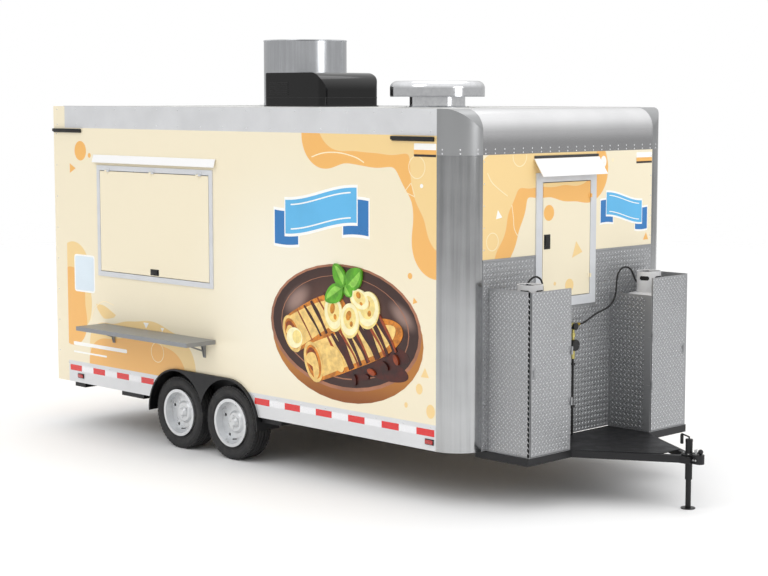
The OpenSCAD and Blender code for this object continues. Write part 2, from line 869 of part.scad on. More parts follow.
module shelf_braces() {
    color("#b4b4b6") for (x = bracket_x)
        translate([x - brace_t / 2, -side_y - brace_pin_out, brace_pin_z])
            rotate([90, 0, 90]) linear_extrude(brace_t) rotate(180 - brace_angle) difference() {
                union() {
                    circle(r = 9);
                    rect([0, -brace_w / 2], [brace_l, brace_w / 2]);
                    translate([brace_l, 0]) circle(r = brace_w / 2);
                }
                circle(r = shelf_pin_r + run);
            }
}

module front_hatch() {
    g = panel_gap;
    color("#f3ead0") {
        along_x(front_x + trim_p - wall_t, front_x + trim_p)
            rect([fh_y - fh_w / 2 + g, fh_z + g], [fh_y + fh_w / 2 - g, fh_z + fh_h - g]);
        at_front_hatch_hinges() hinge_moving();
    }
}

module rear_door() {
    g = panel_gap;
    color("#f3ead0") {
        along_x(rear_x - trim_p, rear_x - trim_p + wall_t)
            rect([-rd_w / 2 + g, floor_z + g], [rd_w / 2 - g, floor_z + rd_h - g]);
        at_rear_door_hinges() hinge_moving();
    }
}

// ---- gas equipment ----

module gas_boxes() {
    high = gas_in + gas_w;
    color("#9a9a9a") both_sides() {
        block([front_x, gas_in, gas_z], [front_x + gas_d, high, gas_z + plate_t]);
        block([front_x, high - plate_t, gas_z], [front_x + gas_d, high, gas_z + gas_h]);
        block([front_x, gas_in, gas_z], [front_x + gas_d, gas_in + plate_t, gas_z + gas_low]);
    }
    // hinge leaves on the inner sides, each with its knuckle and pin
    color("#3a3a3a") both_sides() for (z = gas_hinge_z) {
        block([gas_axis[0] - 50, gas_in - 4, z - hinge_h], [gas_axis[0], gas_in, z - hinge_gap]);
        translate([gas_axis[0], -gas_axis[1], z - hinge_h]) cylinder(r = knuckle_r, h = hinge_h - hinge_gap);
        translate([gas_axis[0], -gas_axis[1], z - over]) cylinder(r = pin_r, h = hinge_h + over);
    }
}

module gas_door() {
    side = plate_t + panel_gap;
    face = front_x + gas_d + 5;
    color("#9a9a9a") {
        block([face - gas_door_t, -gas_in - gas_w + side, gas_z + 10],
              [face, -gas_in - side, gas_z + gas_h - 5]);
        at_gas_hinges() hinge_moving();
    }
}

module gas_cylinders() {
    collar_r = 100;
    collar_h = 216;
    dome = concat([[0, 14], [bottle_r - 35, 14]],
        arc(bottle_r - 30, 44, 30, -90, 0, 5),
        arc(bottle_r - 60, bottle_h, 60, 0, 60, 5),
        [[60, bottle_h + dome_h - 4], [50, bottle_h + dome_h], [0, bottle_h + dome_h]]);
    color("#e4e4e6") both_sides() translate([bottle_x, bottle_y, bottle_z]) {
        rotate_extrude() polygon(dome);
        difference() {
            cylinder(r = bottle_r - 40, h = 20);
            translate([0, 0, -over]) cylinder(r = bottle_r - 46, h = 15 + over);
        }
        translate([0, 0, valve_z - bottle_z - over]) cylinder(r = 15, h = 70);
        translate([0, 0, valve_z - bottle_z + 66]) cylinder(r = 32, h = 14);
        rod_x(-38, 0, 0, outlet_z - bottle_z, 12);
        // the guard collar is open towards the wall, where the hose comes in
        difference() {
            translate([0, 0, bottle_h + 30]) cylinder(r = collar_r, h = collar_h - 10);
            translate([0, 0, bottle_h + dome_h - 4]) cylinder(r = collar_r - 4, h = collar_h);
            translate([-2 * collar_r, -collar_r * 0.8, bottle_h + dome_h])
                cube([2 * collar_r, collar_r * 1.6, collar_h]);
        }
    }
}

module gas_pipe() {
    color("#1a1a1a") {
        translate([pipe_x, pipe_y, gas_z]) cylinder(r = pipe_r, h = 640);
        translate([pipe_x - 20, pipe_y, gas_z + 724]) rotate([0, 90, 0]) cylinder(r = 45, h = 52);
        translate([pipe_x - 12, pipe_y, gas_z + 874]) rotate([0, 90, 0]) cylinder(r = 28, h = 44);
        for (z = [220, 560])
            block([front_x, pipe_y - 14, gas_z + z], [pipe_x + pipe_r + 3, pipe_y + 14, gas_z + z + 20]);
    }
    color("#c9c46e") {
        translate([pipe_x, pipe_y, gas_z + 615]) cylinder(r = 17, h = 60, $fn = 6);
        translate([pipe_x, pipe_y, gas_z + 670]) cylinder(r = 11, h = 220);
        translate([pipe_x, pipe_y, gas_z + 790]) cylinder(r = 18, h = 30, $fn = 6);
        rod_y(pipe_x, pipe_y - tee_half, pipe_y + tee_half, tee_z, 10);
    }
}

// ---- hoses ----

function unit(v) = v / norm(v);
function tangent(p, i) = unit(p[min(i + 1, len(p) - 1)] - p[max(i - 1, 0)]);
function square_to(n, t) = unit(n - (n * t) * t);
function carried(p, i) =
    i == 0 ? square_to([0, 0, 1], tangent(p, 0)) : square_to(carried(p, i - 1), tangent(p, i));
function hose_ring(p, i) =
    let (t = tangent(p, i), n = carried(p, i), b = cross(t, n))
    [for (j = [0:hose_sides - 1]) let (a = 360 * j / hose_sides)
        p[i] + hose_r * (cos(a) * n + sin(a) * b)];

module hose(path) {
    rings = [for (i = [0:len(path) - 1]) each hose_ring(path, i)];
    n = hose_sides;
    last = (len(path) - 1) * n;
    walls = [for (i = [0:len(path) - 2], j = [0:n - 1])
        let (a = i * n + j, b = i * n + (j + 1) % n)
        each [[a, a + n, b + n], [a, b + n, b]]];
    caps = [[for (j = [0:n - 1]) j], [for (j = [n - 1:-1:0]) last + j]];
    color("#151515") polyhedron(rings, concat(walls, caps));
}

module hose_street() {
    hose([for (p = hose_route) [front_x + p[0], p[1], p[2]]]);
}

// the curb hose starts at the tee's other end and then follows the same route, mirrored
module hose_curb() {
    shift = 2 * pipe_y;
    last = len(hose_route) - 1;
    hose([for (i = [0:last]) let (p = hose_route[i], k = max(0, 1 - i / 12))
        [front_x + p[0], -p[1] + shift * k, p[2]]]);
}

// ---- roof units ----

module ac_unit() {
    nose_r = 150;
    edge_r = 60;
    x = front_x - ac_back;
    color("#161616") intersection() {
        along_y(-ac_w / 2, ac_w / 2) {
            rect([x - ac_l / 2, roof_z], [x + ac_l / 2, roof_z + ac_h - nose_r]);
            rect([x - ac_l / 2 + edge_r, roof_z], [x + ac_l / 2 - nose_r, roof_z + ac_h]);
            rect([x - ac_l / 2, roof_z], [x, roof_z + ac_h - edge_r]);
            translate([x + ac_l / 2 - nose_r, roof_z + ac_h - nose_r]) circle(r = nose_r);
            translate([x - ac_l / 2 + edge_r, roof_z + ac_h - edge_r]) circle(r = edge_r);
        }
        along_z(roof_z, roof_z + ac_h) {
            rect([x - ac_l / 2, -ac_w / 2 + edge_r], [x + ac_l / 2, ac_w / 2 - edge_r]);
            rect([x - ac_l / 2 + edge_r, -ac_w / 2], [x + ac_l / 2 - edge_r, ac_w / 2]);
            for (sx = [-1, 1], sy = [-1, 1])
                translate([x + sx * (ac_l / 2 - edge_r), sy * (ac_w / 2 - edge_r)]) circle(r = edge_r);
        }
    }
}

module exhaust_stack() {
    shell = 5;
    hub_r = 150;
    hub_h = 330;
    color("#b9babc") translate([front_x - stack_back, stack_y, roof_z]) {
        difference() {
            cylinder(r = stack_r, h = stack_h, $fn = 128);
            translate([0, 0, 20]) cylinder(r = stack_r - shell, h = stack_h, $fn = 128);
        }
        translate([0, 0, 20 - over]) cylinder(r = hub_r, h = hub_h - 20 + over);
    }
}

module roof_vent() {
    neck_r = 235;
    brim = 125;
    round_r = 60;
    color("#cfd0d2") translate([front_x - vent_back, 0, roof_z]) {
        cylinder(r = neck_r, h = vent_h - brim + over);
        translate([0, 0, vent_h - brim]) {
            cylinder(r = vent_r, h = brim - round_r);
            cylinder(r = vent_r - round_r, h = brim);
            translate([0, 0, brim - round_r]) rotate_extrude()
                translate([vent_r - round_r, 0]) circle(r = round_r);
        }
    }
}

chassis_rails();
floor();
skirt_rails();
tongue_frame();
coupler();
jack_tube();
jack_leg();
axles();
leaf_springs();
fenders();
at_wheel(0, -1) tyre();  // tyre_curb_front
at_wheel(1, -1) tyre();  // tyre_curb_rear
at_wheel(0, 1) tyre();  // tyre_street_front
at_wheel(1, 1) tyre();  // tyre_street_rear
at_wheel(0, -1) rim();  // rim_curb_front
at_wheel(1, -1) rim();  // rim_curb_rear
at_wheel(0, 1) rim();  // rim_street_front
at_wheel(1, 1) rim();  // rim_street_rear
curb_wall();
street_wall();
front_wall();
rear_wall();
roof();
top_rails();
front_cap();
front_posts();
hatch_surrounds();
window_hatch();
strut_tubes();
strut_rods();
serving_shelf();
shelf_brackets();
shelf_braces();
front_hatch();
rear_door();
gas_boxes();
gas_door();  // gas_door_curb
mirror([0, 1, 0]) gas_door();  // gas_door_street
gas_cylinders();
gas_pipe();
hose_curb();
hose_street();
ac_unit();
exhaust_stack();
roof_vent();
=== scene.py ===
"""Finishes and fittings of a tandem-axle food concession trailer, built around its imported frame."""

import math

import bmesh
import bpy
from bpy.props import FloatProperty, FloatVectorProperty, IntProperty
from mathutils import Matrix, Vector


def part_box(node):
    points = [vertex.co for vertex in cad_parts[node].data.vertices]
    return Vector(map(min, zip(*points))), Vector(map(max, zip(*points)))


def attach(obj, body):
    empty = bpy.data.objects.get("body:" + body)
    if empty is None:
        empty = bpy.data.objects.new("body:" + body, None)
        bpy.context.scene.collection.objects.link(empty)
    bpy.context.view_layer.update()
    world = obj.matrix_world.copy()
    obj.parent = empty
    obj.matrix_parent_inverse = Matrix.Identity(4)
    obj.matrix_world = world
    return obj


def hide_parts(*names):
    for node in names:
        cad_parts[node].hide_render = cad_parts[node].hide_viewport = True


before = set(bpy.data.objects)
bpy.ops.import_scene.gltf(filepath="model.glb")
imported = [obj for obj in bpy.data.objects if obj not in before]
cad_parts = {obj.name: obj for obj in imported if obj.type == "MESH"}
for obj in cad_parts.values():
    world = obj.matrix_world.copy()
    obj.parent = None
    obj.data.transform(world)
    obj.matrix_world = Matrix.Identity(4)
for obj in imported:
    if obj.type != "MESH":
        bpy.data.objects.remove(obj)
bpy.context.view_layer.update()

bl_info = {
    "name": "Food concession trailer",
    "version": (1, 0, 0),
    "blender": (4, 5, 0),
    "location": "View3D > Sidebar > Trailer",
    "description": "Builds the finishes and fittings of a food concession trailer around its frame",
    "category": "Object",
}

# ---- datum planes and places, all from the frame's own nodes ----

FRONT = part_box("front_wall")[1].x
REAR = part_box("rear_wall")[0].x
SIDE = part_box("street_wall")[1].y
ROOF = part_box("roof")[1].z
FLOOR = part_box("floor")[1].z
SKIRT_LOW, SKIRT_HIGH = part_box("skirt_rails")
RAIL_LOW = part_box("top_rails")[0].z
CAP_LOW, CAP_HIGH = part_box("front_cap")
HATCH_LOW, HATCH_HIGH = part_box("window_hatch")
NOSE_LOW, NOSE_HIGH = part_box("front_hatch")
DOOR_LOW, DOOR_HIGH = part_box("rear_door")
GAS_LOW, GAS_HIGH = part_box("gas_boxes")
AC_LOW, AC_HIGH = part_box("ac_unit")
STACK_LOW, STACK_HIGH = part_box("exhaust_stack")
VENT_LOW, VENT_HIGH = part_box("roof_vent")
WHEELS = {
    f"wheel_{side}_{end}": sum(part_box(f"tyre_{side}_{end}"), Vector()) / 2
    for side in ("curb", "street")
    for end in ("front", "rear")
}
TYRE_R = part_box("tyre_curb_front")[1].z / 2
TYRE_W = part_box("tyre_street_front")[1].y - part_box("tyre_street_front")[0].y
VINYL = 0.0006
PIPE_X, PIPE_Y = FRONT + 0.045, -0.018


def surface(origin, across, out):
    """A wall's own axes: across, up and out, as a matrix."""
    across, up, out = Vector(across), Vector((0, 0, 1)), Vector(out)
    return Matrix.Translation(origin) @ Matrix((across, up, out)).transposed().to_4x4()


CURB = surface((FRONT, -SIDE, 0), (-1, 0, 0), (0, -1, 0))
STREET = surface((FRONT, SIDE, 0), (-1, 0, 0), (0, 1, 0))
NOSE = surface((FRONT, 0, 0), (0, 1, 0), (1, 0, 0))
TAIL = surface((REAR, 0, 0), (0, 1, 0), (-1, 0, 0))


def srgb(code):
    """A colour code as three numbers from 0 to 1."""
    return tuple(int(code[i : i + 2], 16) / 255 for i in (1, 3, 5))


def linear(colour):
    """A screen colour as the shader's linear colour."""
    if isinstance(colour, str):
        colour = srgb(colour)
    return (*(c / 12.92 if c <= 0.04045 else ((c + 0.055) / 1.055) ** 2.4 for c in colour), 1.0)


# ---- shader maths ----


class Value:
    """A socket, so that shader maths reads as plain Python."""

    def __init__(self, finish, socket):
        self.finish, self.socket = finish, socket

    def math(self, operation, *others):
        return self.finish.node("ShaderNodeMath", {"operation": operation}, self, *others)

    def __add__(self, other):
        return self.math("ADD", other)

    def __mul__(self, other):
        return self.math("MULTIPLY", other)

    def __sub__(self, other):
        return self.math("SUBTRACT", other)

    def __rsub__(self, other):
        return self.finish.node("ShaderNodeMath", {"operation": "SUBTRACT"}, other, self)

    def __truediv__(self, other):
        return self.math("DIVIDE", other)

    def __lt__(self, other):
        return self.math("LESS_THAN", other)

    def __gt__(self, other):
        return self.math("GREATER_THAN", other)

    def __abs__(self):
        return self.math("ABSOLUTE")

    __radd__, __rmul__ = __add__, __mul__

    def ramp(self, low, high, start=0.0, end=1.0):
        """This value taken smoothly from low..high to start..end."""
        settings = {"interpolation_type": "SMOOTHSTEP"}
        return self.finish.node("ShaderNodeMapRange", settings, self, low, high, start, end)


class Finish:
    """One material. Its nodes come from node(), and its uniform values are set on the shader."""

    def __init__(self, name, **uniform):
        self.material = bpy.data.materials.new(name)
        self.material.use_nodes = True
        self.tree = self.material.node_tree
        self.shader = self.tree.nodes["Principled BSDF"]
        for socket, value in uniform.items():
            self.feed(self.shader.inputs[socket.replace("_", " ").title()], value)
        self._position = None

    def feed(self, socket, value):
        if isinstance(value, Value):
            self.tree.links.new(value.socket, socket)
        elif value is not None:
            socket.default_value = value

    def node(self, kind, settings=(), *values, out=0, **named):
        made = self.tree.nodes.new(kind)
        for key, value in dict(settings).items():
            setattr(made, key, value)
        for key, value in [*enumerate(values), *named.items()]:
            self.feed(made.inputs[key], value)
        return Value(self, made.outputs[out])

    def set(self, **varying):
        for socket, value in varying.items():
            self.feed(self.shader.inputs[socket.replace("_", " ").title()], value)
        return self

    @property
    def position(self):
        if self._position is None:
            self._position = self.node("ShaderNodeTexCoord", out="Object")
        return self._position

    def axes(self, vector=None):
        split = self.node("ShaderNodeSeparateXYZ", (), vector or self.position)
        return [Value(self, out) for out in split.socket.node.outputs]

    def mapped(self, scale=(1, 1, 1), location=(0, 0, 0), rotation=(0, 0, 0)):
        return self.node("ShaderNodeMapping", (), self.position, location, rotation, scale)

    def noise(self, scale, detail=3.0, vector=None, rough=0.5):
        return self.node(
            "ShaderNodeTexNoise", (), Vector=vector or self.position, Scale=scale, Detail=detail,
            Roughness=rough
        )

    def mix(self, factor, a, b):
        a, b = (c if isinstance(c, Value) or len(c) == 4 else linear(c) for c in (a, b))
        made = self.tree.nodes.new("ShaderNodeMix")
        made.data_type = "RGBA"
        for index, value in ((0, factor), (6, a), (7, b)):
            self.feed(made.inputs[index], value)
        return Value(self, made.outputs[2])

    def point(self, u, v):
        return self.node("ShaderNodeCombineXYZ", (), u, v, 0.0)

    def away(self, place, centre):
        """Distance from a point of the wall."""
        settings = {"operation": "DISTANCE"}
        return self.node("ShaderNodeVectorMath", settings, place, (*centre, 0.0), out="Value")

    def blobs(self, place, circles, blend=0.24):
        """Where softly joined circles cover the wall, as a mask."""
        field = None
        for u, v, radius in circles:
            gap = self.away(place, (u, v)) - radius
            field = gap if field is None else field.math("SMOOTH_MIN", gap, blend)
        return field.ramp(0.002, -0.002)

    def bump(self, height, strength=0.2, distance=0.001):
        self.set(Normal=self.node("ShaderNodeBump", (), Strength=strength, Distance=distance, Height=height))
        return self


class Sky(Finish):
    """The world's own nodes, written as a finish's are."""

    def __init__(self, world):
        world.use_nodes = True
        self.tree = world.node_tree
        self.shader = self.tree.nodes["Background"]
        self._position = None


def mottled(name, colour, rough, metallic=0.0, mottle=0.06, scale=9.0, grain=220.0, relief=0.12, **uniform):
    """A coated or cast surface with slight changes of tone and a fine grain."""
    finish = Finish(name, Metallic=metallic, **uniform)
    tone = finish.noise(scale, 5.0, rough=0.6)
    base = linear(colour)
    dark = tuple(c * (1 - mottle) for c in base[:3]) + (1.0,)
    light = tuple(min(1.0, c * (1 + mottle)) for c in base[:3]) + (1.0,)
    finish.set(Base_Color=finish.mix(tone.ramp(0.3, 0.7), dark, light))
    finish.set(Roughness=tone.ramp(0.25, 0.75, rough * 0.85, min(1.0, rough * 1.2)))
    return finish.bump(finish.noise(grain, 2.0), relief, 0.0006)


def brushed(name, colour, rough, along=(0.6, 60, 60), mottle=0.08, relief=0.08, **uniform):
    """Metal rubbed in one direction: streaks in tone and gloss, which with a strong mottle also stand for
    painted reflection bands.
    """
    finish = Finish(name, Metallic=uniform.pop("metallic", 1.0), **uniform)
    streak = finish.noise(3.0, 6.0, finish.mapped(along), 0.65)
    cloud = finish.noise(2.3, 3.0)
    base = linear(colour)
    dark = tuple(c * (1 - mottle) for c in base[:3]) + (1.0,)
    finish.set(Base_Color=finish.mix((streak * 0.6 + cloud * 0.4).ramp(0.3, 0.7), dark, base))
    finish.set(Roughness=(streak * 0.7 + cloud * 0.3).ramp(0.3, 0.7, rough * 0.8, rough * 1.25))
    return finish.bump(streak, relief, 0.0004)


# how far behind the front wall the low peach and orange shapes reach
WRAP_END = 5.02
# circles are (across, up, radius): across is behind the front wall, or from the nose's middle
HIGH_ORANGE = (
    (1.47, 2.80, 0.27), (1.12, 2.92, 0.33), (0.85, 2.88, 0.32), (0.36, 2.62, 0.30), (0.20, 2.28, 0.27),
    (0.24, 1.99, 0.26),
)
HIGH_PEACH = (
    (1.30, 2.94, 0.26), (1.00, 2.98, 0.30), (0.70, 2.96, 0.30), (0.28, 2.60, 0.22), (0.24, 2.42, 0.24),
    (0.14, 2.12, 0.20),
)
LOW_PEACH = (
    (4.92, 1.50, 0.25), (4.90, 1.18, 0.26), (4.46, 0.80, 0.22), (4.10, 0.72, 0.34), (3.75, 0.70, 0.40),
    (3.42, 0.70, 0.30),
)
LOW_ORANGE = (
    (4.96, 1.30, 0.21), (4.95, 1.00, 0.23), (4.46, 0.64, 0.23), (4.15, 0.60, 0.30), (3.85, 0.60, 0.34),
    (3.52, 0.60, 0.27),
)
NOSE_ORANGE = (
    (0.20, 2.52, 0.26), (-0.05, 2.70, 0.42), (-0.40, 2.65, 0.33), (-0.80, 2.30, 0.25), (-0.92, 2.08, 0.27),
    (-1.00, 1.85, 0.22),
)
NOSE_PEACH = (
    (0.05, 2.66, 0.26), (-0.25, 2.70, 0.30), (-0.52, 2.62, 0.22), (-0.90, 2.44, 0.24), (-1.00, 2.15, 0.22),
    (-1.10, 1.90, 0.18),
)
TAIL_PEACH = ((1.12, 1.50, 0.30), (1.05, 1.10, 0.36), (0.75, 0.74, 0.30), (0.45, 0.66, 0.24))
TAIL_ORANGE = ((1.18, 1.28, 0.22), (1.15, 0.95, 0.30), (0.80, 0.60, 0.28), (0.55, 0.56, 0.20))


def wrap_finish(inks):
    """Printed film over the walls and hatches: cream, with peach and orange shapes in two corners."""
    finish = Finish("printed_wrap", Coat_Weight=0.25, Coat_Roughness=0.12)
    x, y, z = finish.axes()
    behind = FRONT - x
    wide = abs(y)
    on_side = (wide > SIDE - 0.008) * (behind > 0.2)
    on_nose = (x > FRONT - 0.006) * (wide < SIDE - 0.1)
    on_tail = (x < REAR + 0.006) * (wide < SIDE - 0.008)
    side, nose, tail = finish.point(behind, z), finish.point(y, z), finish.point(wide, z)
    bare_strip = behind < WRAP_END
    high, high_peach = finish.blobs(side, HIGH_ORANGE), finish.blobs(side, HIGH_PEACH)
    low_peach, low_orange = finish.blobs(side, LOW_PEACH), finish.blobs(side, LOW_ORANGE)
    nose_peach = finish.blobs(nose, NOSE_PEACH, 0.17)
    cream = finish.mix(finish.away(side, (2.0, 1.5)).ramp(0.2, 1.3), inks.pale_cream, inks.cream)
    peach = (
        (high * high_peach + low_peach * bare_strip) * on_side
        + nose_peach * on_nose
        + finish.blobs(tail, TAIL_PEACH) * on_tail
    )
    orange = (
        (high - high * high_peach + low_orange * bare_strip) * on_side
        + (finish.blobs(nose, NOSE_ORANGE, 0.13) - nose_peach) * on_nose
        + finish.blobs(tail, TAIL_ORANGE) * on_tail
    )
    colour = finish.mix(peach, cream, linear(inks.peach))
    colour = finish.mix(orange.math("MAXIMUM", 0.0), colour, linear(inks.orange))
    printed = (on_side + on_nose + on_tail).math("MINIMUM", 1.0)
    colour = finish.mix(printed, "#EDEDEA", colour)
    dust = finish.noise(1.6, 6.0, rough=0.7)
    colour = finish.mix(dust.ramp(0.45, 0.9, 0.0, 0.05) + z.ramp(0.9, 0.4, 0.0, 0.06), colour, "#C9BDA6")
    finish.set(Base_Color=colour, Roughness=dust.ramp(0.3, 0.8, 0.30, 0.42))
    return finish.bump(finish.noise(160.0, 2.0) + finish.noise(1.2, 2.0) * 6.0, 0.05, 0.0008)


# ---- mesh forms ----


class Form:
    """A piece under construction, in the row frame, from bmesh operators."""

    def __init__(self):
        self.bm = bmesh.new()

    def round_off(self, verts, width, segments=2, sharp=0.5):
        # a dict and not a set, so that the edges keep one order from run to run
        edges = dict.fromkeys(e for v in verts for e in v.link_edges if e.calc_face_angle(0) > sharp)
        bmesh.ops.bevel(
            self.bm, geom=list(edges), offset=width, segments=segments,
            profile=0.5, affect="EDGES", material=-1, clamp_overlap=True,
        )
        return self

    def block(self, low, high, edge=0.0, segments=2, at=Matrix()):
        """A box between two corners of the axes given, with its edges rounded."""
        low, high = Vector(low), Vector(high)
        place = at @ Matrix.Translation((low + high) / 2) @ Matrix.Diagonal((*(high - low), 1))
        verts = bmesh.ops.create_cube(self.bm, size=1.0, matrix=place)["verts"]
        return self.round_off(verts, edge, segments) if edge else self

    def rod(self, start, end, radius, tip=None, sides=20, edge=0.0, at=Matrix()):
        """A round bar from start to end, tapered to tip if it is given."""
        start, end = at @ Vector(start), at @ Vector(end)
        turn = (end - start).to_track_quat("Z", "Y").to_matrix().to_4x4()
        verts = bmesh.ops.create_cone(
            self.bm, cap_ends=True, segments=sides, radius1=radius, radius2=radius if tip is None else tip,
            depth=(end - start).length, matrix=Matrix.Translation((start + end) / 2) @ turn,
        )["verts"]
        return self.round_off(verts, edge, 2, 0.9) if edge else self

    def lathe(self, profile, origin=(0, 0, 0), axis=(0, 0, 1), steps=48, closed=True, at=Matrix()):
        """Spins (radius, height) points about an axis through origin."""
        origin = at @ Vector(origin)
        up = (at.to_3x3() @ Vector(axis)).normalized()
        turn = up.to_track_quat("Z", "Y").to_matrix()
        verts = [self.bm.verts.new(origin + turn @ Vector((r, 0, h))) for r, h in profile]
        pairs = list(zip(verts, verts[1:])) + ([(verts[-1], verts[0])] if closed else [])
        edges = [self.bm.edges.new(pair) for pair in pairs]
        bmesh.ops.spin(
            self.bm, geom=verts + edges, cent=origin, axis=up, angle=math.tau,
            steps=steps, use_merge=True, use_duplicate=False,
        )
        return self

    def sheet(self, points, thick, at=Matrix(), corner=0.0, lift=0.0, edge=0.0):
        """A flat outline given thickness outwards, with its corners rounded."""
        verts = [self.bm.verts.new(at @ Vector((u, v, lift))) for u, v in points]
        face = self.bm.faces.new(verts)
        if corner:
            made = bmesh.ops.bevel(
                self.bm, geom=verts, offset=corner, segments=6, profile=0.5, affect="VERTICES", material=-1
            )
            face = max((f for v in made["verts"] for f in v.link_faces), key=lambda f: f.calc_area())
        out = (at.to_3x3() @ Vector((0, 0, 1))) * thick
        made = bmesh.ops.extrude_face_region(self.bm, geom=[face], use_keep_orig=True)["geom"]
        raised = [g for g in made if isinstance(g, bmesh.types.BMVert)]
        bmesh.ops.translate(self.bm, verts=raised, vec=out)
        return self.round_off(raised, edge, 1) if edge else self

    def disc(self, centre, radius, thick, at=Matrix(), lift=0.0, sides=40, tall=1.0):
        """A flat round or oval piece on a wall."""
        outline = [
            (
                centre[0] + radius * math.cos(math.tau * i / sides),
                centre[1] + radius * tall * math.sin(math.tau * i / sides),
            )
            for i in range(sides)
        ]
        return self.sheet(outline, thick, at, lift=lift)

    def ring(self, centre, radius, width, thick, at=Matrix(), lift=0.0, steps=48, tall=1.0):
        """A flat hoop on a wall."""
        place = at @ Matrix.Translation((*centre, lift)) @ Matrix.Diagonal((1, tall, 1, 1))
        profile = [(radius - width, 0), (radius, 0), (radius, thick), (radius - width, thick)]
        local = Form().lathe(profile, steps=steps)
        return self.take(local, place)

    def take(self, other, place=Matrix()):
        """Adds another form's geometry, moved by a matrix."""
        mesh = bpy.data.meshes.new("part")
        bmesh.ops.transform(other.bm, matrix=place, verts=other.bm.verts)
        other.bm.to_mesh(mesh)
        other.bm.free()
        self.bm.from_mesh(mesh)
        bpy.data.meshes.remove(mesh)
        return self

    def stamp(self, make, places):
        """Puts one small form at each of many places."""
        mesh = bpy.data.meshes.new("stamp")
        small = Form()
        make(small)
        small.bm.to_mesh(mesh)
        for place in places:
            copy = mesh.copy()
            copy.transform(place)
            self.bm.from_mesh(copy)
            bpy.data.meshes.remove(copy)
        small.bm.free()
        bpy.data.meshes.remove(mesh)
        return self

    def line(self, points, width, thick, at=Matrix(), lift=0.0):
        """A narrow band along a path on a wall."""
        flat = [Vector((u, v)) for u, v in points]
        sides = ([], [])
        for i, p in enumerate(flat):
            along = (flat[min(i + 1, len(flat) - 1)] - flat[max(i - 1, 0)]).normalized()
            across = Vector((-along.y, along.x)) * width / 2
            sides[0].append(p + across)
            sides[1].append(p - across)
        return self.sheet([*sides[0], *reversed(sides[1])], thick, at, lift=lift)


def piece(name, form, body, finish, smooth=35):
    """Turns a form into a finished piece that rides on a body."""
    bmesh.ops.remove_doubles(form.bm, verts=form.bm.verts, dist=1e-5)
    bmesh.ops.recalc_face_normals(form.bm, faces=form.bm.faces)
    mesh = bpy.data.meshes.new(name)
    form.bm.to_mesh(mesh)
    form.bm.free()
    mesh.shade_smooth()
    mesh.set_sharp_from_angle(angle=math.radians(smooth))
    mesh.materials.append(material(finish))
    made = bpy.data.objects.new(name, mesh)
    bpy.context.scene.collection.objects.link(made)
    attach(made, body)
    return made


def material(name):
    """A finish by name, made by the finishes operator."""
    if name not in bpy.data.materials:
        raise RuntimeError(f"the finish {name} isn't made yet: run the finishes operator first")
    return bpy.data.materials[name]


def arc(centre, radius, start, end, count, tall=1.0):
    """Points along an arc, with angles in degrees."""
    turns = [math.radians(start + (end - start) * i / (count - 1)) for i in range(count)]
    return [(centre[0] + radius * math.cos(a), centre[1] + radius * tall * math.sin(a)) for a in turns]


def rectangle(left, low, right, high):
    """The corners of a rectangle, in order."""
    return [(left, low), (right, low), (right, high), (left, high)]


def smooth_path(points, count=8):
    """A smooth path through a few points."""
    flat = [Vector(p) for p in points]
    made = []
    for i in range(len(flat) - 1):
        a, b, c, d = (flat[min(max(i + k, 0), len(flat) - 1)] for k in (-1, 0, 1, 2))
        for j in range(count):
            t = j / count
            bend, twist = 2 * a - 5 * b + 4 * c - d, 3 * b - a - 3 * c + d
            made.append(0.5 * (2 * b + (c - a) * t + bend * t * t + twist * t ** 3))
    return [*made, flat[-1]]


# ---- what a user may change ----


def ink(name, description, code):
    return FloatVectorProperty(
        name=name, description=description, default=srgb(code), min=0.0, max=1.0, size=3,
        subtype="COLOR_GAMMA"
    )


def size(name, description, default, low, high):
    return FloatProperty(
        name=name, description=description, default=default, min=low, max=high, unit="LENGTH", precision=4
    )


class WrapInks(bpy.types.PropertyGroup):
    """Colours of the printed wrap and its applied shapes."""

    cream: ink("Cream", "Ground colour of the wrap", "#F2E7CB")
    pale_cream: ink("Pale cream", "Lighter ground in the middle of a wall", "#F4EDD9")
    peach: ink("Peach", "Lighter of the two corner colours", "#F3D394")
    orange: ink("Orange", "Stronger of the two corner colours", "#F2B866")
    keyline: ink("Keyline", "Thin outlines and small light shapes", "#FCEBC4")
    ribbon: ink("Ribbon", "Blank ribbons on the walls", "#5FB4E4")
    panel: ink("Blank panel", "Blank panel near the rear", "#DCE9F2")
    tape_red: ink("Tape red", "Red lengths of the safety tape", "#E00000")


class FittingSizes(bpy.types.PropertyGroup):
    """Sizes of the fittings added to the frame."""

    hose: size("Hose diameter", "Outside diameter of the gas hoses", 0.015, 0.008, 0.02)
    rivet: size("Rivet radius", "Radius of a rivet's head", 0.0062, 0.003, 0.012)
    tread_pitch: size("Tread pitch", "Distance between the tread plate's bars", 0.040, 0.02, 0.06)
    tread_rise: size("Tread rise", "Height of the tread plate's bars", 0.0018, 0.0008, 0.003)
    groove: size("Tyre groove", "Depth of the tyres' grooves", 0.008, 0.003, 0.012)
    lugs: IntProperty(
        name="Tyre lugs", description="Shoulder blocks round each side of a tyre", default=58, min=24, max=90,
    )
    wheel_nuts: IntProperty(name="Wheel nuts", description="Nuts on each wheel", default=5, min=4, max=8)


class Builder:
    """What each operator shares."""

    bl_options = {"REGISTER", "UNDO"}

    def execute(self, context):
        self.build(context.scene.wrap_inks, context.scene.fitting_sizes)
        return {"FINISHED"}


# ---- finishes ----

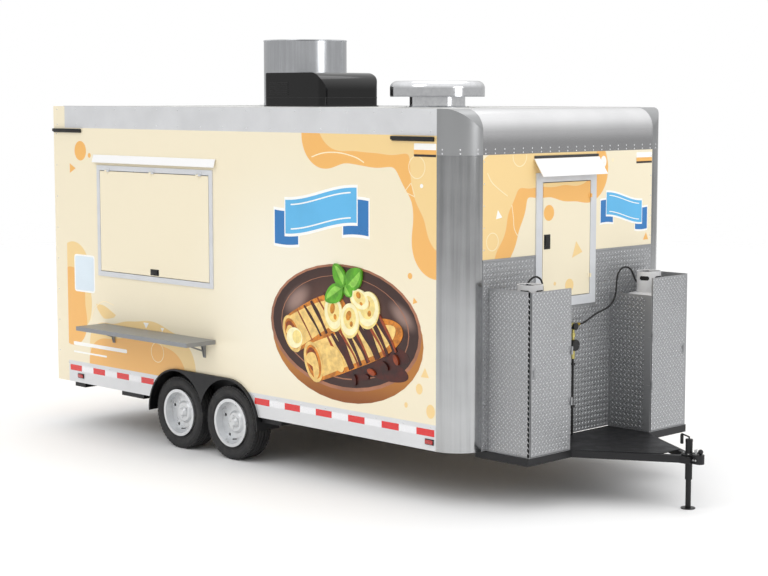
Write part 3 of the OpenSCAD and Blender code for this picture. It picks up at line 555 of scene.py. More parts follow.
CAD_FINISHES = {
    "printed_wrap": (
        "curb_wall", "street_wall", "front_wall", "rear_wall", "window_hatch", "front_hatch", "rear_door",
    ),
    "satin_rail": ("skirt_rails", "top_rails"),
    "polished_post": ("front_posts",),
    "satin_cap": ("front_cap",),
    "black_frame": ("chassis_rails", "tongue_frame", "coupler", "axles", "leaf_springs", "fenders"),
    "black_jack": ("jack_tube", "jack_leg"),
    "zinc": ("strut_rods",),
    "plywood": ("floor",),
    "silver_rim": tuple(f"rim_{w[6:]}" for w in WHEELS),
    "trim": ("hatch_surrounds",),
    "shelf": ("serving_shelf", "shelf_brackets", "shelf_braces"),
    "tread_plate": ("gas_boxes", "gas_door_curb", "gas_door_street"),
    "cylinder_white": ("gas_cylinders",),
    "black_pipe": ("strut_tubes",),
    "gas_line": ("gas_pipe",),
    "glossy_black": ("ac_unit",),
    "bright_steel": ("exhaust_stack",),
    "chrome": ("roof_vent",),
    "roof_coat": ("roof",),
}


class TRAILER_OT_finishes(Builder, bpy.types.Operator):
    """Makes every finish and lays it on the frame's nodes"""

    bl_idname = "trailer.finishes"
    bl_label = "Finishes"

    def build(self, inks, sizes):
        wrap_finish(inks)
        mottled("satin_rail", "#DADBDD", 0.36, 0.35, 0.03, 3.0, relief=0.04)
        # the posts' strong, broad vertical streaks are partly brushing and partly painted reflection bands
        brushed("polished_post", "#B9BABB", 0.13, (6, 6, 0.12), 0.34, 0.03)
        self.cap_metal()
        brushed("black_frame", "#17171A", 0.42, (3, 3, 3), 0.3, 0.1, metallic=0.2)
        mottled("black_jack", "#101012", 0.38, 0.3, 0.25, 14.0)
        mottled("zinc", "#A9ABAE", 0.34, 0.9, 0.15, 25.0)
        mottled("silver_rim", "#D6D8DA", 0.30, 0.35, 0.04, 8.0, relief=0.05, Coat_Weight=0.4)
        self.trim()
        brushed("shelf", "#95979A", 0.42, (0.8, 70, 70), 0.14, metallic=0.5)
        brushed("tread_plate", "#A2A3A5", 0.46, (4, 4, 4), 0.10, metallic=0.6)
        brushed("tread_bar", "#C6C7C9", 0.26, (9, 9, 9), 0.12)
        mottled("cylinder_white", "#E8E8E9", 0.33, 0.0, 0.03, 5.0, relief=0.06, Coat_Weight=0.3)
        mottled("black_pipe", "#141416", 0.45, 0.1, 0.25, 18.0)
        self.gas_line()
        mottled("hose_rubber", "#0E0E0F", 0.55, 0.0, 0.2, 30.0, 700.0, 0.3)
        mottled("glossy_black", "#020202", 0.07, 0.0, 0.3, 4.0, 60.0, 0.015)
        mottled("black_plastic", "#070708", 0.5, 0.0, 0.25, 12.0, 500.0, 0.25)
        brushed("bright_steel", "#C9CBCE", 0.20, (18, 18, 0.5), 0.16, 0.05)
        mottled("roof_coat", "#C6C6C4", 0.6, 0.0, 0.08, 1.5, 90.0, 0.2)
        mottled("brass", "#B9A04B", 0.28, 1.0, 0.15, 30.0)
        mottled("chrome", "#D9DADC", 0.12, 1.0, 0.05, 20.0, relief=0.02)
        mottled("grey_rubber", "#3A3A3C", 0.7, 0.0, 0.15, 20.0, 400.0, 0.2)
        for name, colour in (
            ("vinyl_peach", inks.peach), ("vinyl_orange", inks.orange), ("vinyl_keyline", inks.keyline),
        ):
            mottled(name, tuple(colour), 0.32, 0.0, 0.015, 3.0, relief=0.03)
        mottled("vinyl_white", "#FBFAF6", 0.32, 0.0, 0.01, 3.0, relief=0.03)
        mottled("vinyl_dark", "#2B2422", 0.4, 0.0, 0.1, 9.0)
        mottled("vinyl_blue", tuple(inks.ribbon), 0.3, 0.0, 0.05, 2.0, relief=0.03)
        mottled("vinyl_deep_blue", "#2E77B8", 0.3, 0.0, 0.05, 2.0, relief=0.03)
        mottled("vinyl_panel", tuple(inks.panel), 0.32, 0.0, 0.02, 3.0, relief=0.03)
        self.tape("tape_red", tuple(inks.tape_red))
        self.tape("tape_white", (0.96, 0.96, 0.97))
        self.lens("red_lens", "#C30A0A")
        self.lens("amber_lens", "#E07A08")
        self.plywood()
        self.tyre()
        for name, nodes in CAD_FINISHES.items():
            for node in nodes:
                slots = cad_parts[node].material_slots
                for slot in slots:
                    slot.material = material(name)

    def cap_metal(self):
        """Satin sheet: a painted highlight on its upper, curved part, a greyer flat face below it and duller
        corner castings.
        """
        finish = Finish("satin_cap", Metallic=0.95)
        _, y, z = finish.axes()
        tone = finish.noise(2.0, 4.0)
        casting = abs(y) > SIDE - (CAP_HIGH.x - CAP_LOW.x)
        # painted highlight: the sheet is coloured brighter towards its top, standing for the light on its
        # curve
        painted_highlight_ramp = finish.mix(z.ramp(CAP_LOW.z + 0.07, CAP_LOW.z + 0.20), "#ADADAE", "#E4E4E5")
        colour = finish.mix(casting, painted_highlight_ramp, "#A6A7A8")
        finish.set(Base_Color=finish.mix(tone.ramp(0.3, 0.7, 0.0, 0.12), colour, "#8C8D8F"))
        finish.set(Roughness=tone.ramp(0.3, 0.7, 0.17, 0.22) + casting * 0.16)
        finish.bump(finish.noise(220.0, 2.0), 0.015, 0.0006)

    def trim(self):
        """Painted trim: grey rings, white drip caps and dark strut brackets inside."""
        finish = Finish("trim", Metallic=0.15)
        x, y, z = finish.axes()
        tone = finish.noise(6.0, 4.0)
        over_window = (z > 2.495) * (y < -SIDE + 0.001)
        over_nose = (x > FRONT + 0.0115) * (z > 2.48) + (x > FRONT - 0.001) * (z > 2.5145)
        inside = (y > -SIDE + 0.02) * (y < -1.19) * (x < FRONT - 1.0) * (x > REAR + 0.3)
        colour = finish.mix(tone.ramp(0.3, 0.7), "#D2D4D8", "#D8DADD")
        colour = finish.mix((over_window + over_nose).math("MINIMUM", 1.0), colour, "#F7F7F7")
        finish.set(
            Base_Color=finish.mix(inside, colour, "#2C2C2E"), Roughness=tone.ramp(0.3, 0.7, 0.28, 0.40),
        )
        finish.bump(finish.noise(220.0, 2.0), 0.04, 0.0006)

    def gas_line(self):
        """The gas pipe: black coated tube and discs, with plain brass fittings."""
        finish = Finish("gas_line")
        x, y, z = finish.axes()
        reach = finish.away(finish.point(x, y), (PIPE_X, PIPE_Y))
        tee = (abs(x - PIPE_X) < 0.0115) * (z > 1.288)
        brass = ((reach < 0.0195) * (z > 1.029) + tee).math("MINIMUM", 1.0)
        tone = finish.noise(28.0, 5.0)
        colour = finish.mix(brass, "#131315", "#D2C67C")
        finish.set(Base_Color=finish.mix(tone.ramp(0.4, 0.8, 0.0, 0.35), colour, "#2A2418"))
        finish.set(Metallic=brass * 0.95, Roughness=tone.ramp(0.3, 0.7, 0.28, 0.45))
        finish.bump(finish.noise(240.0, 2.0), 0.08, 0.0005)

    def tape(self, name, colour):
        """Reflective tape, with its fine honeycomb."""
        finish = Finish(name, Roughness=0.22, Coat_Weight=0.6)
        cells = finish.node(
            "ShaderNodeTexVoronoi", {"feature": "DISTANCE_TO_EDGE"}, Vector=finish.position, Scale=260.0,
        )
        base = linear(colour)
        dark = tuple(c * 0.8 for c in base[:3]) + (1.0,)
        finish.set(Base_Color=finish.mix(cells.ramp(0.0, 0.12), dark, base))
        finish.bump(cells.ramp(0.0, 0.15), 0.1, 0.0003)

    def lens(self, name, colour):
        """A moulded lamp lens, ribbed inside."""
        finish = Finish(name, Coat_Weight=1.0, Coat_Roughness=0.04)
        ribs = finish.node("ShaderNodeTexWave", {"bands_direction": "Z"}, Vector=finish.position, Scale=90.0)
        base = linear(colour)
        dark = tuple(c * 0.55 for c in base[:3]) + (1.0,)
        finish.set(Base_Color=finish.mix(ribs, dark, base), Roughness=ribs.ramp(0, 1, 0.12, 0.25))
        finish.bump(ribs, 0.2, 0.0005)

    def plywood(self):
        """Coated floor panel: grain along the trailer, scuffed."""
        finish = Finish("plywood")
        grain = finish.noise(5.0, 8.0, finish.mapped((0.5, 14, 14)), 0.6)
        scuff = finish.noise(2.0, 5.0)
        colour = finish.mix(grain.ramp(0.3, 0.7), "#6E5B43", "#94805F")
        finish.set(Base_Color=finish.mix(scuff.ramp(0.55, 0.8, 0.0, 0.5), colour, "#4A4038"))
        finish.set(Roughness=scuff.ramp(0.3, 0.8, 0.5, 0.7)).bump(grain, 0.25, 0.001)

    def tyre(self):
        """Tyre rubber: dusty in its grooves, with fine moulding lines on its walls."""
        finish = Finish("tyre_rubber")
        dust = finish.noise(14.0, 6.0, rough=0.65)
        fine = finish.noise(420.0, 2.0)
        finish.set(Base_Color=finish.mix(dust.ramp(0.35, 0.75), "#1D1D1F", "#3A3938"))
        finish.set(Roughness=dust.ramp(0.3, 0.8, 0.62, 0.85)).bump(fine + dust, 0.2, 0.0006)


# ---- gas hoses ----

# the street hose's way from the tee to the cylinder: behind the front wall's face, sideways and up
HOSE_ROUTE = (
    (45, 32, 1300), (45, 60, 1300), (47, 95, 1304), (51, 135, 1317), (56, 180, 1338), (62, 225, 1359),
    (68, 275, 1378), (74, 325, 1392), (80, 370, 1408), (86, 410, 1432), (91, 440, 1466), (95, 456, 1510),
    (98, 462, 1560), (100, 464, 1610), (102, 470, 1655), (104, 488, 1692), (106, 520, 1716), (108, 560, 1726),
    (110, 602, 1719), (110, 640, 1696), (108, 668, 1662), (107, 692, 1626), (110, 714, 1598),
    (121, 733, 1583),
    (138, 744, 1579), (155, 745, 1579), (171.7, 745, 1579),
)


class TRAILER_OT_hoses(Builder, bpy.types.Operator):
    """Makes the two gas hoses and their crimped ends"""

    bl_idname = "trailer.hoses"
    bl_label = "Gas hoses"

    def build(self, inks, sizes):
        route = [Vector((FRONT + x / 1000, y / 1000, z / 1000)) for x, y, z in HOSE_ROUTE]
        self.hose("street", route, sizes.hose)
        shifts = [2 * PIPE_Y * max(0.0, 1 - i / 12) for i in range(len(route))]
        self.hose("curb", [Vector((p.x, -p.y + shift, p.z)) for p, shift in zip(route, shifts)], sizes.hose)

    def hose(self, side, route, diameter):
        curve = bpy.data.curves.new(f"hose_line_{side}", "CURVE")
        curve.dimensions, curve.use_fill_caps = "3D", True
        curve.bevel_depth, curve.bevel_resolution, curve.resolution_u = diameter / 2, 4, 6
        spline = curve.splines.new("BEZIER")
        spline.bezier_points.add(len(route) - 1)
        for point, place in zip(spline.bezier_points, route):
            point.co, point.handle_left_type, point.handle_right_type = place, "AUTO", "AUTO"
        curve.materials.append(material("hose_rubber"))
        hose = bpy.data.objects.new(f"gas_hose_{side}", curve)
        bpy.context.scene.collection.objects.link(hose)
        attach(hose, "trailer")
        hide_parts(f"hose_{side}")
        ends = Form()
        for first, second in ((route[0], route[1]), (route[-1], route[-2])):
            along = (second - first).normalized()
            ends.rod(first - along * 0.001, first + along * 0.026, diameter * 0.78, sides=20, edge=0.001)
            for k in (0.008, 0.014, 0.020):
                ends.rod(
                    first + along * k, first + along * (k + 0.003), diameter * 0.86, sides=20, edge=0.0008,
                )
            ends.rod(first - along * 0.001, first + along * 0.007, diameter * 0.98, sides=6, edge=0.001)
        fittings = piece(f"hose_ends_{side}", ends, "trailer", "brass")
        length = sum((b - a).length for a, b in zip(route, route[1:]))
        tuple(route[0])


# ---- wheels ----


class TRAILER_OT_tyres(Builder, bpy.types.Operator):
    """Spins the four tyres, with grooves, shoulder blocks and ringed walls"""

    bl_idname = "trailer.tyres"
    bl_label = "Tyres"

    def build(self, inks, sizes):
        half, deep = TYRE_W / 2, sizes.groove
        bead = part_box("rim_curb_front")[1].z - WHEELS["wheel_curb_front"].z
        wall = [
            (bead - 0.006, 0.074), (bead + 0.004, 0.084), (bead + 0.012, 0.0885), (bead + 0.014, 0.0865),
            (bead + 0.030, 0.0945),
            (bead + 0.032, 0.0965), (bead + 0.036, 0.0970), (bead + 0.038, 0.0955),
            (bead + 0.060, half - 0.0015), (bead + 0.066, half),
            (bead + 0.078, half - 0.001), (TYRE_R - 0.026, half - 0.006), (TYRE_R - 0.024, half - 0.0045),
            (TYRE_R - 0.020, half - 0.0055),
            (TYRE_R - 0.014, half - 0.0125), (TYRE_R - 0.008, half - 0.020), (TYRE_R - 0.005, half - 0.026),
        ]
        tread = [
            (TYRE_R - 0.004, 0.066), (TYRE_R - 0.001, 0.056), (TYRE_R - deep, 0.054), (TYRE_R - deep, 0.046),
            (TYRE_R - 0.0005, 0.044), (TYRE_R, 0.024), (TYRE_R - deep, 0.022), (TYRE_R - deep, 0.014),
            (TYRE_R, 0.012),
        ]
        outer = [*wall, *tread]
        mirrored = [(r, -y) for r, y in reversed(outer)]
        inside = [(bead - 0.012, -0.070), (bead - 0.012, 0.070)]
        for wheel, centre in WHEELS.items():
            form = Form()
            form.lathe([*outer, *mirrored, *inside], centre, (0, 1, 0), 96)
            places = []
            for i in range(sizes.lugs):
                for y in (-1, 1):
                    turn = Matrix.Rotation(math.tau * (i + 0.25 * y) / sizes.lugs, 4, "Y")
                    seat = Matrix.Translation((0, y * 0.0735, TYRE_R - 0.0085))
                    places.append(Matrix.Translation(centre) @ turn @ seat)
            form.stamp(
                lambda f: f.block((-0.0125, -0.0165, -0.008), (0.0125, 0.0165, 0.0065), 0.002, 1), places
            )
            sipes = []
            for i in range(sizes.lugs):
                for y in (-0.034, 0.0, 0.034):
                    turn = Matrix.Rotation(math.tau * (i + 0.5 * (y == 0)) / sizes.lugs, 4, "Y")
                    seat, slant = Matrix.Translation((0, y, TYRE_R - 0.0016)), Matrix.Rotation(0.5, 4, "Z")
                    sipes.append(Matrix.Translation(centre) @ turn @ seat @ slant)
            form.stamp(lambda f: f.block((-0.011, -0.0095, -0.002), (0.011, 0.0095, 0.0008)), sipes)
            made = piece(f"tyre_{wheel[6:]}_tread", form, wheel, "tyre_rubber", 30)
            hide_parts(f"tyre_{wheel[6:]}")


class TRAILER_OT_wheel_trim(Builder, bpy.types.Operator):
    """Adds nuts, hub caps and valves to the wheels"""

    bl_idname = "trailer.wheel_trim"
    bl_label = "Wheel nuts and caps"

    def build(self, inks, sizes):
        for wheel, centre in WHEELS.items():
            out = -1 if centre.y < 0 else 1
            place = surface(centre, (1, 0, 0), (0, out, 0))
            piece(f"hub_cap_{wheel[6:]}", self.cap(place), wheel, "chrome", 40)
            nuts, bolt_circle = Form(), 0.057
            for i in range(sizes.wheel_nuts):
                a = math.tau * (i + 0.5) / sizes.wheel_nuts
                u, v = bolt_circle * math.cos(a), bolt_circle * math.sin(a)
                nuts.rod((u, v, 0.018), (u, v, 0.040), 0.0105, sides=6, edge=0.0012, at=place)
                nuts.rod((u, v, 0.040), (u, v, 0.046), 0.008, 0.004, 12, at=place)
            piece(f"wheel_nuts_{wheel[6:]}", nuts, wheel, "chrome", 30)
            valve = Form()
            valve.rod((0, -0.150, 0.030), (0, -0.146, 0.068), 0.0045, sides=12, at=place)
            valve.rod((0, -0.1465, 0.058), (0, -0.1455, 0.070), 0.0055, sides=12, edge=0.001, at=place)
            piece(f"valve_{wheel[6:]}", valve, wheel, "black_plastic", 30)

    def cap(self, place):
        """A hub's dust cap, with its flange."""
        profile = [
            (0.0, 0.066), (0.018, 0.0655), (0.026, 0.062), (0.030, 0.055), (0.031, 0.030), (0.036, 0.028),
            (0.036, 0.016), (0.0, 0.016),
        ]
        return Form().lathe(profile, at=place, steps=40)


# ---- wall art ----


class Art:
    """Applied shapes gathered by finish and body, then made into one piece for each."""

    def __init__(self, name):
        self.name, self.forms = name, {}

    def on(self, finish, body="trailer"):
        return self.forms.setdefault((finish, body), Form())

    def finish_off(self):
        for (finish, body), form in self.forms.items():
            piece(f"{self.name}_{finish}_{body}", form, body, finish)


def triangle(centre, radius, turn=90):
    return arc(centre, radius, turn, turn + 240, 3)


def ribbon(art, at, centre, width, height, body="trailer"):
    """A blank waving ribbon with two folded tails and a white edge."""
    u0, v0 = centre

    def band(left, right, tall, drop, steps=28):
        spots = [left + (right - left) * i / steps for i in range(steps + 1)]
        waves = [math.sin((t - 0.5) * math.pi * 1.3) * height * 0.14 - drop for t in spots]
        top = [(u0 + (0.5 - t) * width, v0 + wave + tall) for t, wave in zip(spots, waves)]
        low = [(u0 + (0.5 - t) * width, v0 + wave - tall) for t, wave in zip(spots, waves)]
        return [*top, *reversed(low)]

    tall, edge = height * 0.30, height * 0.05
    for left, right in ((0.0, 0.26), (0.74, 1.0)):
        art.on("vinyl_white", body).sheet(
            band(left - 0.012, right + 0.012, tall + edge, height * 0.2), VINYL, at,
        )
        art.on("vinyl_deep_blue", body).sheet(band(left, right, tall, height * 0.2), VINYL * 1.6, at)
    art.on("vinyl_white", body).sheet(band(0.11, 0.89, tall + edge, 0), VINYL * 2.2, at)
    art.on("vinyl_blue", body).sheet(band(0.12, 0.88, tall, 0), VINYL * 2.8, at)
    for drop in (-0.72, 0.72):
        art.on("vinyl_white", body).sheet(band(0.18, 0.82, height * 0.012, tall * drop), VINYL * 3.4, at)


class TRAILER_OT_wall_art(Builder, bpy.types.Operator):
    """Lays the cut shapes, outlines, blank ribbons and blank panels on the walls and hatches"""

    bl_idname = "trailer.wall_art"
    bl_label = "Wall art"

    def build(self, inks, sizes):
        for name, at in (("curb_art", CURB), ("street_art", STREET)):
            art = Art(name)
            self.side(art, at)
            art.finish_off()
        art = Art("nose_art")
        self.nose(art)
        art.finish_off()
        art = Art("tail_art")
        art.on("vinyl_orange").disc((0.85, 2.35), 0.10, VINYL, TAIL)
        art.on("vinyl_orange").sheet(triangle((-0.80, 2.45), 0.07, 80), VINYL, TAIL)
        art.on("vinyl_keyline").ring((-0.88, 2.10), 0.10, 0.006, VINYL, TAIL)
        art.on("vinyl_peach").disc((0.70, 2.05), 0.03, VINYL, TAIL)
        art.finish_off()

    def side(self, art, at):
        orange, peach, light = art.on("vinyl_orange"), art.on("vinyl_peach"), art.on("vinyl_keyline")
        orange.disc((4.78, 2.60), 0.09, VINYL, at)
        orange.disc((4.64, 2.56), 0.022, VINYL, at)
        orange.sheet([(4.95, 2.48), (4.95, 2.39), (4.86, 2.435)], VINYL, at)
        leaf = [
            *smooth_path([(4.57, 1.19), (4.44, 1.18), (4.27, 1.11)]),
            *smooth_path([(4.30, 1.085), (4.45, 1.065), (4.55, 1.14)]),
        ]
        peach.sheet([(p.x, p.y) for p in (Vector(q) for q in leaf)], VINYL * 1.5, at)
        vein = smooth_path([(4.66, 1.02), (4.60, 1.14), (4.46, 1.22), (4.30, 1.20)])
        light.line([(p.x, p.y) for p in vein], 0.008, VINYL * 2, at)
        light.ring((3.66, 0.83), 0.092, 0.006, VINYL * 1.5, at)
        light.ring((0.45, 2.57), 0.088, 0.006, VINYL, at)
        for a, b, c in (
            ((3.86, 1.08), (3.78, 1.08), (3.82, 1.03)), ((3.61, 1.055), (3.56, 1.055), (3.585, 1.02)),
        ):
            art.on("vinyl_white").sheet([a, b, c], VINYL * 1.5, at)
        for p, q in (
            ((0.51, 2.45), (0.58, 2.38)), ((0.58, 2.38), (0.47, 2.345)), ((0.47, 2.345), (0.51, 2.45)),
        ):
            light.line([p, q], 0.006, VINYL, at)
        art.on("vinyl_white").disc((0.40, 2.43), 0.016, VINYL, at)
        sweep = smooth_path([(1.62, 2.62), (1.48, 2.655), (1.30, 2.66), (1.12, 2.63), (1.02, 2.59)])
        light.line([(p.x, p.y) for p in sweep], 0.010, VINYL, at)
        orange.disc((0.52, 1.74), 0.024, VINYL, at)
        orange.sheet(triangle((0.47, 1.55), 0.03, 70), VINYL, at)
        for u, v, r in ((0.42, 0.88, 0.035), (0.30, 0.72, 0.045), (0.56, 0.74, 0.018)):
            peach.disc((u, v), r, VINYL, at, tall=1.2)
        peach.sheet(triangle((0.36, 1.00), 0.05, 90), VINYL, at)
        panel = [(4.89, 1.30), (4.60, 1.30), (4.60, 1.62), (4.89, 1.62)]
        art.on("vinyl_white").sheet(
            [(u + (0.015 if u > 4.7 else -0.015), v + (0.015 if v > 1.5 else -0.015)) for u, v in panel],
            VINYL, at, 0.03,
        )
        art.on("vinyl_panel").sheet(panel, VINYL * 1.8, at, 0.02)
        for right, v, tall in ((4.11, 0.79, 0.034), (4.42, 0.71, 0.016)):
            art.on("vinyl_white").sheet(
                rectangle(4.94, v - tall / 2, right, v + tall / 2), VINYL * 1.5, at, tall * 0.4,
            )
        self.sticker(art, at, (0.365, 2.70), 0.23, 0.10)
        ribbon(art, at, (1.52, 2.19), 1.10, 0.46)

    def sticker(self, art, at, centre, wide, tall, body="trailer"):
        """A blank label: white above, an orange band and a dark foot."""
        u, v = centre
        left, right, low, high = u - wide / 2, u + wide / 2, v - tall / 2, v + tall / 2
        art.on("vinyl_white", body).sheet(rectangle(left, low, right, high), VINYL, at, 0.006)
        art.on("vinyl_orange", body).sheet(
            rectangle(left, low + tall * 0.18, right, low + tall * 0.52), VINYL * 1.8, at,
        )
        art.on("vinyl_dark", body).sheet(rectangle(left, low, right, low + tall * 0.18), VINYL * 1.8, at)

    def nose(self, art):
        hatch = NOSE @ Matrix.Translation((0, 0, self.lift()))
        orange, light = art.on("vinyl_orange"), art.on("vinyl_keyline")
        art.on("vinyl_orange", "front_hatch").disc((-0.29, 2.20), 0.062, VINYL, hatch)
        art.on("vinyl_peach", "front_hatch").sheet([(0.05, 1.96), (0.13, 1.87), (0.00, 1.83)], VINYL, hatch)
        art.on("vinyl_peach", "front_hatch").disc((-0.03, 1.615), 0.052, VINYL, hatch)
        art.on("vinyl_peach", "front_hatch").disc((-0.21, 1.64), 0.015, VINYL, hatch)
        orange.sheet([(0.98, 1.98), (1.01, 1.92), (0.94, 1.92)], VINYL, NOSE)
        art.on("vinyl_white").disc((0.40, 2.58), 0.036, VINYL, NOSE, tall=1.3)
        light.disc((0.52, 2.59), 0.014, VINYL, NOSE)
        art.on("vinyl_white").sheet([(-0.88, 2.25), (-0.83, 2.19), (-0.90, 2.18)], VINYL, NOSE)
        light.ring((-0.94, 2.01), 0.07, 0.006, VINYL, NOSE)
        light.line(arc((-0.63, 2.65), 0.08, 172, 368, 30), 0.006, VINYL, NOSE)
        for path in (
            ((-1.00, 2.53), (-0.95, 2.46), (-0.86, 2.40), (-0.77, 2.35)),
            ((-0.72, 2.28), (-0.70, 2.18), (-0.69, 2.10), (-0.65, 2.04)),
        ):
            light.line([(p.x, p.y) for p in smooth_path(path)], 0.007, VINYL, NOSE)
        self.sticker(art, NOSE, (0.94, 2.60), 0.21, 0.09)
        ribbon(art, NOSE, (0.68, 2.20), 0.62, 0.30)

    def lift(self):
        return NOSE_HIGH.x - FRONT if NOSE_HIGH.x - FRONT < 0.012 else 0.010


# ---- picture of a filled dish on each side wall ----


class TRAILER_OT_dish_picture(Builder, bpy.types.Operator):
    """Makes the flat picture of a brown dish with filled rolls, banana slices and mint"""

    bl_idname = "trailer.dish_picture"
    bl_label = "Dish picture"

    def build(self, inks, sizes):
        self.foods()
        for name, at in (("curb", CURB), ("street", STREET)):
            self.picture(name, at)

    def foods(self):
        """Each food's tone, all from its place on the wall."""
        dish = Finish("dish_brown", Coat_Weight=0.1)
        x, _, z = dish.axes()
        u = FRONT - x
        glow = dish.away(dish.point(u * 0.65, z), (1.28 * 0.65, 1.28)).ramp(0.15, 0.52)
        tone = dish.mix(glow, "#5B372B", "#341811")
        shine = dish.away(dish.point(u + z * 0.7, z), (1.80 + 1.46 * 0.7, 1.46)).ramp(0.16, 0.02) * 0.55
        slanted = dish.point(u - z * 0.8, z)
        shine = shine + dish.away(slanted, (0.60 - 1.42 * 0.8, 1.42)).ramp(0.14, 0.02) * 0.5
        dish.set(Base_Color=dish.mix(shine, tone, "#C2A296"), Roughness=0.45 + dish.noise(30.0) * 0.15)
        side = Finish("dish_clay")
        lower = side.axes()[2].ramp(0.66, 0.95)
        side.set(Base_Color=side.mix(lower, "#8A4A12", "#B4742E"), Roughness=0.4 + side.noise(30.0) * 0.1)
        mottled("dish_edge", "#A06A4E", 0.35, mottle=0.2, scale=5.0)
        mottled("crepe_light", "#EFC778", 0.45, mottle=0.22, scale=16.0)
        mottled("crepe_toast", "#C97A22", 0.45, mottle=0.35, scale=22.0)
        mottled("crepe_inside", "#8A3F12", 0.5, mottle=0.45, scale=26.0)
        mottled("sauce", "#3F1006", 0.4, mottle=0.5, scale=12.0)
        mottled("sauce_light", "#8E3A12", 0.4, mottle=0.4, scale=14.0)
        mottled("banana", "#F3DC8C", 0.4, mottle=0.12, scale=18.0)
        mottled("banana_pale", "#FBF0C0", 0.4, mottle=0.08, scale=18.0)
        mottled("banana_toast", "#C8811E", 0.4, mottle=0.35, scale=25.0)
        mottled("mint", "#58A21E", 0.4, mottle=0.3, scale=14.0)
        mottled("mint_light", "#8CCB4E", 0.4, mottle=0.2, scale=14.0)

    def picture(self, name, at):
        art = Art(f"dish_{name}")
        step = [VINYL]

        def lay(finish, points):
            step[0] += 0.00025
            art.on(finish).sheet([(p[0], p[1]) for p in points], step[0], at)

        def oval(finish, centre, wide, tall, turn=0.0, sides=36):
            c, s = math.cos(math.radians(turn)), math.sin(math.radians(turn))
            ring = arc((0, 0), 1.0, 0, 360 - 360 / sides, sides)
            lay(
                finish,
                [
                    (centre[0] + wide * a * c - tall * b * s, centre[1] + wide * a * s + tall * b * c)
                    for a, b in ring
                ],
            )

        def roll(start, end, radius, stripes, tail):
            """A filled roll seen from one end: body, lit edge, dark mouth and sauce stripes."""
            start, end = Vector(start), Vector(end)
            along = end - start
            across = Vector((-along.y, along.x)).normalized()
            if across.y < 0:
                across = -across

            def at_(t, k):
                return start + along * t + across * radius * k

            shade = smooth_path([
                at_(0.0, -1.0), at_(0.35, -1.05), at_(0.8, -0.98), at_(1.02, -0.55), at_(1.05, 0.1),
                at_(0.9, 0.7), at_(0.6, 0.98), at_(0.2, 1.05), at_(0.0, 1.0),
            ])
            lay("crepe_toast", shade)
            lay(
                "crepe_light",
                smooth_path([
                    at_(0.0, -0.85), at_(0.4, -0.8), at_(0.8, -0.7), at_(0.97, -0.2), at_(0.95, 0.3),
                    at_(0.6, 0.72), at_(0.2, 0.9), at_(0.0, 0.9),
                ]),
            )
            for i in range(stripes):
                t = 0.22 + 0.68 * i / stripes
                lean = 0.08 + 0.03 * (i % 2)
                wide = 0.018 + 0.012 * ((i * 7) % 3)
                finish = "sauce" if i % 3 else "sauce_light"
                path = smooth_path([
                    at_(t, 0.98), at_(t + lean * 0.35, 0.3), at_(t + lean * 0.8, -0.4), at_(t + lean, -1.02),
                ])
                back = smooth_path([
                    at_(t + lean + wide, -0.98), at_(t + lean * 0.8 + wide, -0.4),
                    at_(t + lean * 0.35 + wide * 1.5, 0.3), at_(t + wide, 0.98),
                ])
                lay(finish, [*path, *back])
            face = math.degrees(math.atan2(across.y, across.x)) - 90
            oval("crepe_light", at_(0.0, 0.0), radius * 0.62, radius * 1.03, face)
            oval("crepe_toast", at_(0.005, 0.0), radius * 0.50, radius * 0.86, face)
            oval("crepe_inside", at_(0.0, 0.12), radius * 0.36, radius * 0.62, face)
            lay(
                "crepe_light",
                smooth_path([
                    at_(-0.10, 0.25), at_(-0.03, 0.5), at_(0.04, 0.35), at_(0.05, -0.3), at_(0.02, -0.75),
                    at_(-0.03, -0.8), at_(-0.02, -0.2),
                ]),
            )
            if tail:
                lay(
                    "crepe_light",
                    smooth_path([
                        at_(0.13, 0.75), at_(0.30, 0.2), at_(0.34, -0.6), at_(0.30, -0.98), at_(0.22, -0.6),
                        at_(0.16, 0.1),
                    ]),
                )

        oval("dish_clay", (1.24, 1.205), 0.865, 0.53)
        oval("dish_edge", (1.26, 1.275), 0.865, 0.505)
        oval("dish_brown", (1.26, 1.280), 0.835, 0.482)
        oval("dish_edge", (1.26, 1.275), 0.735, 0.415)
        oval("dish_brown", (1.26, 1.278), 0.725, 0.408)
        for centre, wide, tall in (
            ((0.85, 1.00), 0.32, 0.09), ((1.80, 1.10), 0.16, 0.06), ((0.72, 1.12), 0.20, 0.07),
            ((1.15, 0.93), 0.20, 0.05),
        ):
            oval("sauce", centre, wide, tall, 8)
        roll((1.86, 1.17), (1.28, 1.47), 0.155, 5, False)
        oval("banana_pale", (1.83, 1.14), 0.095, 0.085)
        oval("banana", (1.80, 1.15), 0.055, 0.055)
        roll((1.60, 0.965), (0.66, 1.315), 0.165, 13, True)
        for centre, wide, tall, turn in (
            ((1.36, 1.39), 0.105, 0.145, -8), ((0.97, 1.45), 0.125, 0.150, 14),
            ((1.06, 1.52), 0.110, 0.080, 24), ((1.17, 1.35), 0.108, 0.140, 6),
        ):
            oval("banana", (centre[0], centre[1] - 0.012), wide * 1.02, tall, turn)
            oval("banana_pale", centre, wide * 0.96, tall * 0.92, turn)
            oval("banana", (centre[0], centre[1] + 0.01), wide * 0.66, tall * 0.62, turn)
            oval("banana_toast", (centre[0] + 0.01, centre[1] + 0.03), wide * 0.26, tall * 0.30, turn + 20)
            oval("banana_toast", (centre[0] - 0.02, centre[1] - 0.035), wide * 0.16, tall * 0.16, turn)
        for k, (u, v) in enumerate(((1.00, 0.91), (0.93, 0.955), (0.78, 1.02), (0.66, 1.08), (1.12, 0.87))):
            oval("sauce_light" if k % 2 else "sauce", (u, v), 0.045, 0.022, 20 * k)
        for tip, root, wide in (
            ((1.35, 1.78), (1.23, 1.60), 0.062), ((1.04, 1.75), (1.21, 1.60), 0.080),
            ((1.45, 1.48), (1.24, 1.60), 0.070), ((1.15, 1.53), (1.22, 1.62), 0.045),
        ):
            tip, root = Vector(tip), Vector(root)
            along = tip - root
            across = Vector((-along.y, along.x)).normalized() * wide
